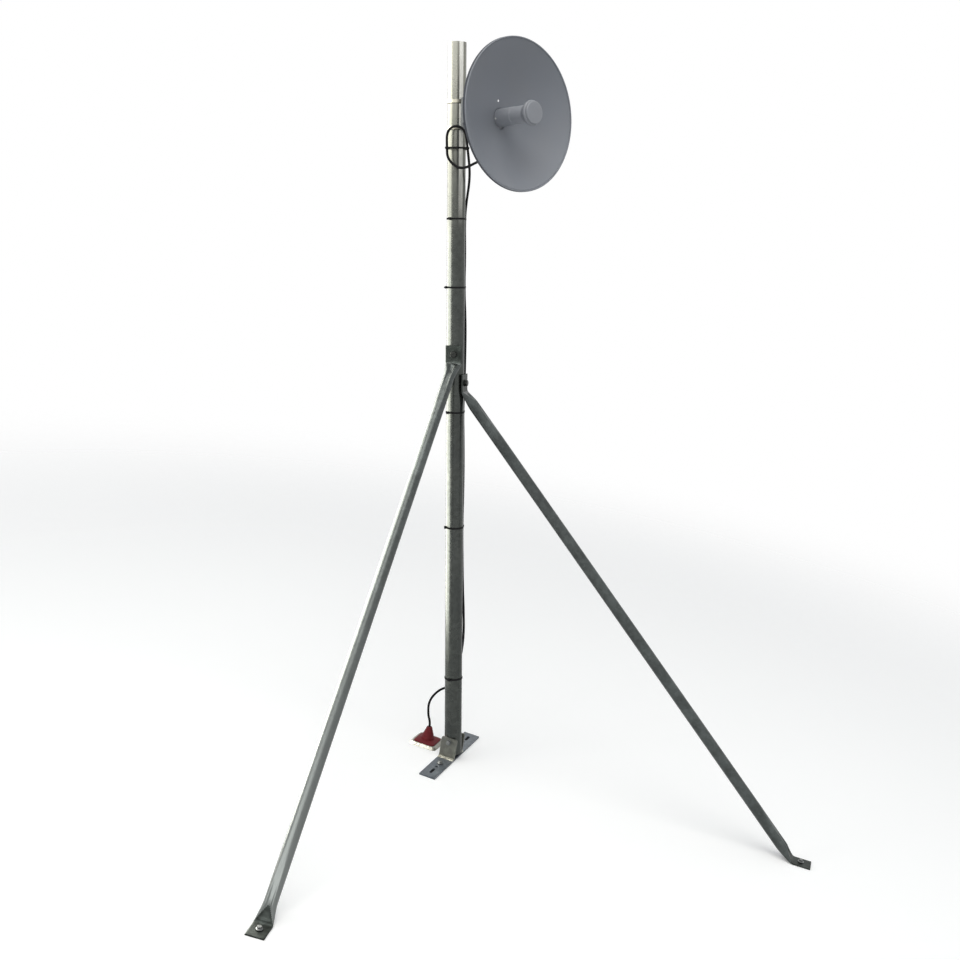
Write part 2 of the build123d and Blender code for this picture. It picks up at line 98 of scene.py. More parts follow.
def linear(code: str) -> tuple[float, float, float, float]:
    """Turn an sRGB hex colour into linear light.

    Args:
        code: Colour such as "#8a8c88".

    Returns:
        Red, green, blue and an alpha of one.
    """
    shares = [int(code[place : place + 2], 16) / 255 for place in (1, 3, 5)]
    light = [s / 12.92 if s <= 0.04045 else ((s + 0.055) / 1.055) ** 2.4 for s in shares]
    return (light[0], light[1], light[2], 1.0)


def add_node(
    tree: bpy.types.NodeTree,
    kind: str,
    settings: dict[str, Any] | None = None,
    inputs: dict[Any, Any] | None = None,
    links: dict[Any, bpy.types.NodeSocket | bpy.types.Node] | None = None,
) -> bpy.types.Node:
    """Add a node with its settings, its socket values and its links.

    Args:
        tree: Node tree that takes the node.
        kind: Blender's name for the kind of shader node.
        settings: Attributes of the node.
        inputs: Values of its sockets, by name or place.
        links: Sockets that feed its sockets, by name or place, or a node for its first.

    Returns:
        The new node.
    """
    node = tree.nodes.new(f"ShaderNode{kind}")
    for key, value in (settings or {}).items():
        setattr(node, key, value)
    for key, value in (inputs or {}).items():
        node.inputs[key].default_value = value
    for key, source in (links or {}).items():
        first = isinstance(source, bpy.types.Node)
        tree.links.new(source.outputs[0] if first else source, node.inputs[key])
    return node


def per_metre(size_mm: float) -> float:
    """Texture scale for a pattern that repeats at a size in millimetres."""
    return 1000.0 / size_mm


@dataclass(frozen=True)
class Finish:
    """A surface finish: its name and its main colour."""

    name: str
    colour: str
    roughness: float
    metallic: float = 0.0

    def begin(self) -> tuple[bpy.types.Material, bpy.types.NodeTree, bpy.types.Node]:
        """Start an empty material.

        Returns:
            The material, its node tree and its surface shader.
        """
        material = bpy.data.materials.new(self.name)
        material.use_nodes = True
        tree = material.node_tree
        tree.nodes.clear()
        shader = add_node(
            tree,
            "BsdfPrincipled",
            inputs={
                "Base Color": linear(self.colour),
                "Roughness": self.roughness,
                "Metallic": self.metallic,
            },
        )
        add_node(tree, "OutputMaterial", links={"Surface": shader})
        return material, tree, shader

    def vary(
        self,
        tree: bpy.types.NodeTree,
        shader: bpy.types.Node,
        patches: bpy.types.NodeSocket,
        limits: tuple[float, float, float],
        relief: bpy.types.NodeSocket,
        strength: float,
        depth_mm: float,
    ) -> None:
        """Let the gloss change with the patches and the relief show as fine bumps.

        Args:
            tree: Node tree of the material.
            shader: Its surface shader.
            patches: Pattern that the gloss follows.
            limits: Where the pattern counts as full, and how far roughness falls and rises.
            relief: Pattern of the bumps.
            strength: How far the bumps show.
            depth_mm: Their depth.
        """
        full, fall, rise = limits
        gloss = add_node(
            tree,
            "MapRange",
            inputs={
                "From Min": 0.3,
                "From Max": full,
                "To Min": self.roughness - fall,
                "To Max": self.roughness + rise,
            },
            links={"Value": patches},
        )
        tree.links.new(gloss.outputs["Result"], shader.inputs["Roughness"])
        bumps = add_node(
            tree,
            "Bump",
            inputs={"Strength": strength, "Distance": depth_mm * MM},
            links={"Height": relief},
        )
        tree.links.new(bumps.outputs["Normal"], shader.inputs["Normal"])


@dataclass(frozen=True)
class GalvanisedSteel(Finish):
    """Hot-dip galvanised steel: cloudy zinc with crystals and dull runs along the tube."""

    pale: str = "#9a9c98"
    stain: str = "#4c4b46"
    # Spangle of a dipped tube, at its real size
    crystal_mm: float = 9.0
    cloud_mm: float = 70.0
    run_mm: float = 14.0
    stain_share: float = 0.3
    # A pale end of the tube: a painted reflection of bright sky
    painted_glare: str = ""
    glare_from_mm: float = 1330.0
    glare_to_mm: float = 1950.0
    # A pale matt streak high up on one side: a painted highlight
    highlight_tone: str = "#fbfaf1"
    highlight_azimuth: float = 0.0
    highlight_from_mm: float = 1540.0
    highlight_to_mm: float = 1760.0
    highlight_metallic: float = 0.1

    def material(self) -> bpy.types.Material:
        """Build the material.

        Returns:
            Zinc whose crystals differ in tone, so that the tube looks mottled, with
            darker weathered runs that break up the glint along its length.
        """
        material, tree, shader = self.begin()
        place = add_node(tree, "TexCoord").outputs["Object"]
        crystals = add_node(
            tree,
            "TexVoronoi",
            inputs={"Scale": per_metre(self.crystal_mm), "Randomness": 1.0},
            links={"Vector": place},
        )
        shade = add_node(tree, "SeparateColor", links={"Color": crystals.outputs["Color"]})
        clouds = add_node(
            tree,
            "TexNoise",
            inputs={"Scale": per_metre(self.cloud_mm), "Detail": 6.0, "Roughness": 0.62},
            links={"Vector": place},
        )
        stretched = add_node(
            tree, "Mapping", inputs={"Scale": (1.0, 1.0, 0.09)}, links={"Vector": place}
        )
        runs = add_node(
            tree,
            "TexNoise",
            inputs={"Scale": per_metre(self.run_mm), "Detail": 4.0, "Roughness": 0.55},
            links={"Vector": stretched.outputs["Vector"]},
        )
        cloud_mix = add_node(
            tree,
            "MapRange",
            inputs={"From Min": 0.38, "From Max": 0.64},
            links={"Value": clouds.outputs["Fac"]},
        )
        zinc = add_node(
            tree,
            "Mix",
            settings={"data_type": "RGBA"},
            inputs={6: linear(self.colour), 7: linear(self.pale)},
            links={0: cloud_mix},
        )
        crystal_tone = add_node(
            tree,
            "MapRange",
            inputs={"To Min": 0.86, "To Max": 1.12},
            links={"Value": shade.outputs["Red"]},
        )
        mottled = add_node(
            tree,
            "Mix",
            settings={"data_type": "RGBA", "blend_type": "MULTIPLY"},
            inputs={0: 1.0},
            links={6: zinc.outputs[2], 7: crystal_tone},
        )
        run_mask = add_node(
            tree,
            "MapRange",
            inputs={"From Min": 0.52, "From Max": 0.72, "To Max": self.stain_share},
            links={"Value": runs.outputs["Fac"]},
        )
        weathered = add_node(
            tree,
            "Mix",
            settings={"data_type": "RGBA"},
            inputs={7: linear(self.stain)},
            links={0: run_mask, 6: mottled.outputs[2]},
        )
        tone = weathered.outputs[2]
        # Pale end and highlight streak: painted light laid into the colour
        if self.painted_glare:
            tone = self.with_painted_glare(tree, place, tone, shader)
        tree.links.new(tone, shader.inputs["Base Color"])
        cloud = clouds.outputs["Fac"]
        self.vary(tree, shader, cloud, (0.75, 0.04, 0.06), cloud, 0.25, 0.3)
        return material

    def with_painted_glare(
        self,
        tree: bpy.types.NodeTree,
        place: bpy.types.NodeSocket,
        tone: bpy.types.NodeSocket,
        shader: bpy.types.Node,
    ) -> bpy.types.NodeSocket:
        """Paint one end pale, a painted reflection of bright sky, and a pale matt streak high up on
        one side, a painted highlight.

        Args:
            tree: Node tree of the material.
            place: Place on the object.
            tone: Colour of the weathered zinc.
            shader: Surface shader, which turns matt along the painted highlight streak.

        Returns:
            The colour with its painted pale end and painted highlight streak.
        """
        height = add_node(tree, "SeparateXYZ", links={"Vector": place})
        share = add_node(
            tree,
            "MapRange",
            inputs={"From Min": self.glare_from_mm * MM, "From Max": self.glare_to_mm * MM},
            links={"Value": height.outputs["Z"]},
        )
        slow = add_node(
            tree, "Math", settings={"operation": "POWER"}, inputs={1: 2.2}, links={0: share}
        )
        paled = add_node(
            tree,
            "Mix",
            settings={"data_type": "RGBA"},
            inputs={7: linear(self.painted_glare)},
            links={0: slow, 6: tone},
        )
        # The streak: a painted highlight along one side of the tube
        out = (math.cos(self.highlight_azimuth), math.sin(self.highlight_azimuth), 0.0)
        reach = add_node(
            tree,
            "VectorMath",
            settings={"operation": "DOT_PRODUCT"},
            inputs={1: out},
            links={0: place},
        )
        line = add_node(
            tree,
            "MapRange",
            settings={"interpolation_type": "SMOOTHSTEP"},
            inputs={
                "From Min": MAST_X * out[0] + MAST_RADIUS * 0.955,
                "From Max": MAST_X * out[0] + MAST_RADIUS * 0.985,
            },
            links={"Value": reach.outputs["Value"]},
        )
        risen = add_node(
            tree,
            "MapRange",
            settings={"interpolation_type": "SMOOTHSTEP"},
            inputs={"From Min": self.highlight_from_mm * MM, "From Max": self.highlight_to_mm * MM},
            links={"Value": height.outputs["Z"]},
        )
        highlight_mask = add_node(
            tree, "Math", settings={"operation": "MULTIPLY"}, links={0: line, 1: risen}
        )
        matt = add_node(
            tree,
            "MapRange",
            inputs={"To Min": self.metallic, "To Max": self.highlight_metallic},
            links={"Value": highlight_mask},
        )
        tree.links.new(matt.outputs["Result"], shader.inputs["Metallic"])
        highlighted = add_node(
            tree,
            "Mix",
            settings={"data_type": "RGBA"},
            inputs={7: linear(self.highlight_tone)},
            links={0: highlight_mask, 6: paled.outputs[2]},
        )
        return highlighted.outputs[2]


@dataclass(frozen=True)
class GrainedFinish(Finish):
    """A moulded, sprayed or plated surface with fine grain and slow changes of tone."""

    dusty: str = "#8a8c90"
    dust_share: float = 0.35
    cloud_mm: float = 60.0
    # Real moulding or spray grain is near 0.1 mm: it is drawn as coarse as the picture can show
    grain_mm: float = 1.2
    grain_depth_mm: float = 0.03
    gloss_level: float = 0.5

    def material(self) -> bpy.types.Material:
        """Build the material.

        Returns:
            An even colour with dust in slow patches and a grain that softens the gloss.
        """
        material, tree, shader = self.begin()
        shader.inputs["Specular IOR Level"].default_value = self.gloss_level
        place = add_node(tree, "TexCoord").outputs["Object"]
        patches = add_node(
            tree,
            "TexNoise",
            inputs={"Scale": per_metre(self.cloud_mm), "Detail": 5.0, "Roughness": 0.6},
            links={"Vector": place},
        )
        share = add_node(
            tree,
            "MapRange",
            inputs={"From Min": 0.42, "From Max": 0.75, "To Max": self.dust_share},
            links={"Value": patches.outputs["Fac"]},
        )
        mixed = add_node(
            tree,
            "Mix",
            settings={"data_type": "RGBA"},
            inputs={6: linear(self.colour), 7: linear(self.dusty)},
            links={0: share},
        )
        tree.links.new(mixed.outputs[2], shader.inputs["Base Color"])
        grain = add_node(
            tree,
            "TexNoise",
            inputs={"Scale": per_metre(self.grain_mm), "Detail": 2.0},
            links={"Vector": place},
        )
        patch = patches.outputs["Fac"]
        limits = (0.7, 0.05, 0.08)
        self.vary(tree, shader, patch, limits, grain.outputs["Fac"], 0.35, self.grain_depth_mm)
        return material


# The part's finishes by the name of their use
FINISHES: dict[str, GalvanisedSteel | GrainedFinish] = {
    # Hot-dip zinc on welded tube: dark weathered grey with one hard glint; its pale top is a
    # painted reflection of bright sky, and a pale streak high up a painted highlight
    "mast": GalvanisedSteel(
        "galvanised_mast_tube",
        "#434644",
        0.27,
        0.85,
        pale="#4a4d4a",
        stain="#3d3e3a",
        painted_glare="#83837b",
        highlight_azimuth=math.radians(-39.0),
    ),
    # The same zinc on the front stay, cooler, and paler towards its foot: a painted reflection of
    # bright sky there
    "front_stay": GalvanisedSteel(
        "galvanised_front_stay",
        "#474b4a",
        0.33,
        0.8,
        pale="#565b5a",
        stain="#3d3e3b",
        painted_glare="#757977",
        glare_from_mm=1200.0,
        glare_to_mm=60.0,
    ),
    # The same zinc on the side stay, cooler in tone and weathered all along
    "side_stay": GalvanisedSteel(
        "galvanised_stay_tube", "#474b4a", 0.33, 0.8, pale="#565b5a", stain="#3d3e3b"
    ),
    # Darker zinc on the pressed ends and on a wedge by the lower fold: painted shade
    "pressed": GalvanisedSteel(
        "pressed_end_painted_shade", "#2b2f2c", 0.42, 0.85, pale="#3f4441", stain="#242624", cloud_mm=26.0
    ),
    # The ears' zinc, warmer and duller where the welding heat ran through
    "ear": GalvanisedSteel(
        "galvanised_ear_plate", "#62635d", 0.45, 0.5, pale="#74756d", stain="#4f504a"
    ),
    # Weld metal under a cold spray of zinc: lumpy and bright, the brightness partly a painted
    # highlight
    "weld": GalvanisedSteel(
        "zinc_sprayed_weld", "#8f8f86", 0.36, 0.6, pale="#aaa99f", stain="#5c5c55", cloud_mm=8.0
    ),
    # Zinc on flat plate, bluer and smoother than on the tubes
    "foot": GalvanisedSteel(
        "galvanised_foot_plate", "#555c63", 0.42, 0.5, pale="#676d72", stain="#454a4f"
    ),
    # Electroplated hardware: bright, fine, slightly dusty
    "bolt": GrainedFinish(
        "zinc_plated_hardware", "#838585", 0.34, 0.85, dusty="#77776f", cloud_mm=12.0
    ),
    # The large bolts through the mast: the same plating gone dull and dark
    "stay_bolt": GrainedFinish(
        "weathered_bolt_zinc", "#2c2e2c", 0.36, 0.75, dusty="#1f201d", cloud_mm=14.0
    ),
    # Folded and plated sheet of the aiming bracket
    "bracket": GrainedFinish(
        "zinc_plated_bracket", "#8d9092", 0.42, 0.8, dusty="#6f706c", cloud_mm=30.0
    ),
    # Cold-rolled stainless strip: pale and bright
    "band": GrainedFinish("stainless_band", "#a9a698", 0.32, 0.9, dusty="#7f7a6b", cloud_mm=18.0),
    # Stove-enamelled steel sheet, satin, with a bluish grey cast
    "dish": GrainedFinish(
        "satin_enamelled_sheet", "#7f838a", 0.5, 0.0, dusty="#87888b", cloud_mm=120.0, grain_mm=2.0
    ),
    # The same enamel on the turned-back skirt, painted darker: painted shade of the skirt
    "hem": GrainedFinish(
        "enamel_skirt_painted_shade",
        "#4a4d53",
        0.6,
        0.0,
        dusty="#5b5d61",
        cloud_mm=60.0,
        grain_mm=2.0,
        gloss_level=0.2,
    ),
    # Injection-moulded ABS, light satin grey, painted lighter than the cap: painted light on the
    # feed's lit side
    "feed": GrainedFinish("moulded_abs_grey", "#9c9fa5", 0.4, 0.0, dusty="#a3a4a7", cloud_mm=40.0),
    # The same ABS on the cap, a little darker: the feed's lighter tone is painted light
    "cap": GrainedFinish("moulded_abs_cap", "#8b8e94", 0.45, 0.0, dusty="#929396", cloud_mm=40.0),
    # Pale lock screw: the one pale dot on the grey feed, a painted highlight
    "pin": GrainedFinish("natural_acetal", "#e4e4e0", 0.35, 0.0, dusty="#c9c9c4", cloud_mm=8.0),
    # Moulded black nylon: nearly black, with a dry sheen
    "black": GrainedFinish(
        "black_nylon", "#0b0b0d", 0.6, 0.0, dusty="#161618", cloud_mm=10.0, gloss_level=0.2
    ),
    # Extruded black polyethylene jacket: smooth, faint highlight
    "cable": GrainedFinish(
        "polyethylene_jacket", "#08080a", 0.55, 0.0, dusty="#131315", cloud_mm=15.0, gloss_level=0.2
    ),
    # Moulded red silicone rubber, dull, with pale dust in its steps
    "boot": GrainedFinish(
        "red_silicone_rubber",
        "#631a1f",
        0.6,
        0.0,
        dusty="#7a2b2f",
        dust_share=0.4,
        gloss_level=0.25,
        cloud_mm=14.0,
        grain_mm=0.8,
    ),
    # Soft dead-drawn aluminium edge, pressed by hand: bright with dull dents
    "flange": GrainedFinish(
        "soft_aluminium_edge",
        "#93928a",
        0.34,
        0.9,
        dusty="#6f6e67",
        cloud_mm=9.0,
        grain_mm=3.0,
        grain_depth_mm=0.4,
    ),
}

Ring = list[Vector]


def skin(rings: Sequence[Ring], cap_start: bool = True, cap_end: bool = True) -> bpy.types.Mesh:
    """Join closed rings of points into one skin.

    Args:
        rings: Rings of the same count of points, in order.
        cap_start: Whether the first ring is closed by a face.
        cap_end: Whether the last ring is closed by a face.

    Returns:
        A smooth-shaded mesh.
    """
    count = len(rings[0])
    points = [point for ring in rings for point in ring]
    faces = []
    for row in range(len(rings) - 1):
        for place in range(count):
            after = (place + 1) % count
            faces.append(
                (
                    row * count + place,
                    row * count + after,
                    (row + 1) * count + after,
                    (row + 1) * count + place,
                )
            )
    if cap_start:
        faces.append(tuple(reversed(range(count))))
    if cap_end:
        start = (len(rings) - 1) * count
        faces.append(tuple(range(start, start + count)))
    mesh = bpy.data.meshes.new("skin")
    mesh.from_pydata(points, [], faces)
    mesh.validate()
    mesh.shade_smooth()
    return mesh


def round_ring(
    place: Matrix, count: int, point: Callable[[float], tuple[float, float, float]]
) -> Ring:
    """One ring of points round the z axis of a local frame.

    Args:
        place: The frame.
        count: How many points.
        point: A point of the frame for each angle.

    Returns:
        The ring.
    """
    return [place @ Vector(point(math.tau * step / count)) for step in range(count)]


def lathe(
    profile: Sequence[tuple[float, float]], place: Matrix, segments: int = 64
) -> bpy.types.Mesh:
    """Turn a profile round the z axis of a local frame.

    Args:
        profile: Pairs of radius and height, in metres. A closed loop repeats its start.
        place: Frame of the turned piece.
        segments: Steps round the axis.

    Returns:
        The turned mesh, open only where the profile is.
    """
    rings = [
        round_ring(place, segments, lambda a: (r * math.cos(a), r * math.sin(a), height))
        for r, height in profile
    ]
    closed = profile[0] == profile[-1]
    return skin(rings, not closed and profile[0][0] > 0, not closed and profile[-1][0] > 0)


def frame_at(origin: Vector, z_axis: Vector, x_axis: Vector) -> Matrix:
    """Build a local frame.

    Args:
        origin: Its origin.
        z_axis: Its z direction.
        x_axis: A direction near its x direction.

    Returns:
        The frame as a matrix.
    """
    z_dir = z_axis.normalized()
    x_dir = (x_axis - z_dir * x_axis.dot(z_dir)).normalized()
    y_dir = z_dir.cross(x_dir)
    rotation = Matrix((x_dir, y_dir, z_dir)).transposed().to_4x4()
    return Matrix.Translation(origin) @ rotation


def level_dir(azimuth: float) -> Vector:
    """Level direction at an azimuth."""
    return Vector((math.cos(azimuth), math.sin(azimuth), 0.0))


def arc(
    centre: tuple[float, float], radius: float, degrees: Sequence[int]
) -> list[tuple[float, float]]:
    """Points of a profile round a bend.

    Args:
        centre: Middle of the bend.
        radius: Its radius.
        degrees: Angles of the points.

    Returns:
        The points.
    """
    turns = [math.radians(degree) for degree in degrees]
    return [(centre[0] + radius * math.cos(t), centre[1] + radius * math.sin(t)) for t in turns]


def slope_point(x: float, y: float, lift: float = 0.0) -> Vector:
    """A point over the slope, lifted along its normal."""
    return Vector((x, y, -x * math.tan(SLOPE_PITCH))) + SLOPE_NORMAL * lift


def merged(parts: Sequence[bpy.types.Mesh]) -> bpy.types.Mesh:
    """Join meshes into one.

    Args:
        parts: Meshes in the row frame.

    Returns:
        One mesh that holds them all.
    """
    points: list[Vector] = []
    faces: list[tuple[int, ...]] = []
    smooth: list[bool] = []
    for part in parts:
        start = len(points)
        points.extend(vertex.co.copy() for vertex in part.vertices)
        for face in part.polygons:
            faces.append(tuple(index + start for index in face.vertices))
            smooth.append(face.use_smooth)
    mesh = bpy.data.meshes.new("merged")
    mesh.from_pydata(points, [], faces)
    mesh.polygons.foreach_set("use_smooth", smooth)
    mesh.update()
    return mesh


def add_piece(
    name: str,
    mesh: bpy.types.Mesh,
    finish: bpy.types.Material,
    replaced: Sequence[str] = (),
    crease: float = 35.0,
) -> bpy.types.Object:
    """Add a piece that rides on the part.

    Args:
        name: Name of the piece.
        mesh: Its mesh in the row frame.
        finish: Its material.
        replaced: CAD nodes that it stands for.
        crease: Angle in degrees above which an edge stays sharp.

    Returns:
        The new object.
    """
    mesh.name = name
    mesh.materials.append(finish)
    piece = bpy.data.objects.new(name, mesh)
    bpy.context.scene.collection.objects.link(piece)
    mesh.set_sharp_from_angle(angle=math.radians(crease))
    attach(piece, "root")
    if replaced:
        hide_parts(*replaced)
    log.info("built %s with %d faces", name, len(mesh.polygons))
    return piece


def dress(nodes: Sequence[str], finish: bpy.types.Material) -> None:
    """Give CAD nodes a finish and keep their own shape.

    Args:
        nodes: Names of the nodes.
        finish: Their material.
    """
    for name in nodes:
        mesh = frame["nodes"][name].data
        mesh.materials.clear()
        mesh.materials.append(finish)
        log.info("dressed %s in %s", name, finish.name)


@dataclass
class HexFastener:
    """A bolt or nut with its washer, set against a face."""

    size: float
    across_flats: float
    head_height: float
    washer_radius: float
    washer_thickness: float = 1.6 * MM

    def ring(self, place: Matrix, height: float, round_radius: float | None) -> Ring:
        """One outline of the head.

        Args:
            place: Frame with z out of the face.
            height: Height of the outline.
            round_radius: Radius that cuts the corners, or none.

        Returns:
            The outline's points.
        """

        def corner(angle: float) -> tuple[float, float, float]:
            """Point of the outline.

            Args:
                angle: Angle round the axis.

            Returns:
                Its place in the local frame.
            """
            off_flat = (angle + math.pi / 6) % (math.pi / 3) - math.pi / 6
            reach = self.across_flats / 2 / math.cos(off_flat)
            if round_radius is not None:
                reach = min(reach, round_radius)
            return reach * math.cos(angle), reach * math.sin(angle), height

        return round_ring(place, 48, corner)

    def head(self, place: Matrix) -> bpy.types.Mesh:
        """The hexagon with chamfered corners.

        Args:
            place: Frame with z out of the face.

        Returns:
            The head's mesh.
        """
        low = self.washer_thickness
        high = low + self.head_height
        flat = self.across_flats / 2
        corner = flat / math.cos(math.pi / 6)
        rings = [
            self.ring(place, low, None),
            self.ring(place, high - 0.18 * self.head_height, corner * 0.999),
            self.ring(place, high - 0.07 * self.head_height, corner * 0.95),
            self.ring(place, high, flat * 0.95),
        ]
        return skin(rings)

    def washer(self, place: Matrix) -> bpy.types.Mesh:
        """The washer under the hexagon.

        Args:
            place: Frame with z out of the face.

        Returns:
            The washer's mesh.
        """
        edge = 0.3 * MM
        profile = [
            (self.size * 0.3, 0.0),
            (self.washer_radius - edge, 0.0),
            (self.washer_radius, edge),
            (self.washer_radius, self.washer_thickness - edge),
            (self.washer_radius - edge, self.washer_thickness),
            (self.size * 0.3, self.washer_thickness),
        ]
        return lathe(profile, place, 40)

    def stud(self, place: Matrix, start: float, end: float) -> bpy.types.Mesh:
        """A threaded end that stands out of the nut.

        Args:
            place: Frame with z out of the face.
            start: Height where the thread starts.
            end: Height of its tip.

        Returns:
            The stud's mesh.
        """
        pitch = self.size * 0.15
        depth = pitch * 0.55
        profile = []
        height = start
        while height < end - pitch:
            profile.append((self.size / 2 - depth, height))
            profile.append((self.size / 2, height + pitch / 2))
            height += pitch
        profile.append((self.size / 2 - depth, height))
        profile.append((self.size / 2 - depth * 1.4, end))
        return lathe(profile, place, 28)


@dataclass
class ThroughBolt:
    """A bolt through the mast: head on one side, nut and thread end on the other."""

    name: str
    centre: Vector
    head_dir: Vector
    head_at: float
    nut_at: float
    size: float
    across_flats: float
    replaced: tuple[str, str]
    thread_out: float = 3.4 * MM

    def build(self, finish: bpy.types.Material) -> None:
        """Build the bolt and its nut.

        Args:
            finish: Their material.
        """
        head = HexFastener(self.size, self.across_flats, self.size * 0.64, self.size)
        nut = HexFastener(self.size, self.across_flats, self.size * 0.8, self.size)
        head_place = frame_at(self.centre + self.head_dir * self.head_at, self.head_dir, UP)
        nut_place = frame_at(self.centre - self.head_dir * self.nut_at, -self.head_dir, UP)
        add_piece(
            f"{self.name}_bolt_head",
            merged([head.head(head_place), head.washer(head_place)]),
            finish,
            (self.replaced[0],),
        )
        tip = nut.washer_thickness + nut.head_height + self.thread_out
        stud = nut.stud(nut_place, nut.washer_thickness, tip)
        add_piece(
            f"{self.name}_nut_and_thread",
            merged([nut.head(nut_place), nut.washer(nut_place), stud]),
            finish,
            (self.replaced[1],),
        )


@dataclass
class PadScrew:
    """A self-drilling hexagon screw on a cupped washer with a rubber seal."""

    name: str
    seat: Vector
    washer_radius: float = 8.5 * MM
    head_flats: float = 9.5 * MM

    def build(self, zinc: bpy.types.Material, rubber: bpy.types.Material) -> None:
        """Build the screw head, the washer and the seal.

        Args:
            zinc: Material of the metal.
            rubber: Material of the seal.
        """
        place = frame_at(self.seat, SLOPE_NORMAL, SLOPE_DOWN)
        seal = lathe(
            [
                (2.0 * MM, 0.0),
                (self.washer_radius * 0.95, 0.0),
                (self.washer_radius, 0.9 * MM),
                (self.washer_radius * 0.95, 1.8 * MM),
                (2.0 * MM, 1.9 * MM),
            ],
            place,
            40,
        )
        add_piece(f"{self.name}_seal", seal, rubber)
        cup = lathe(
            [
                (2.0 * MM, 1.8 * MM),
                (self.washer_radius * 0.97, 1.7 * MM),
                (self.washer_radius * 0.97, 2.4 * MM),
                (self.washer_radius * 0.6, 3.2 * MM),
                (2.0 * MM, 3.4 * MM),
            ],
            place,
            40,
        )
        head = HexFastener(6.0 * MM, self.head_flats, 4.4 * MM, self.head_flats * 0.64, 1.0 * MM)
        raised = place @ Matrix.Translation((0, 0, 3.0 * MM))
        add_piece(
            f"{self.name}_head",
            merged([cup, head.washer(raised), head.head(raised)]),
            zinc,
        )


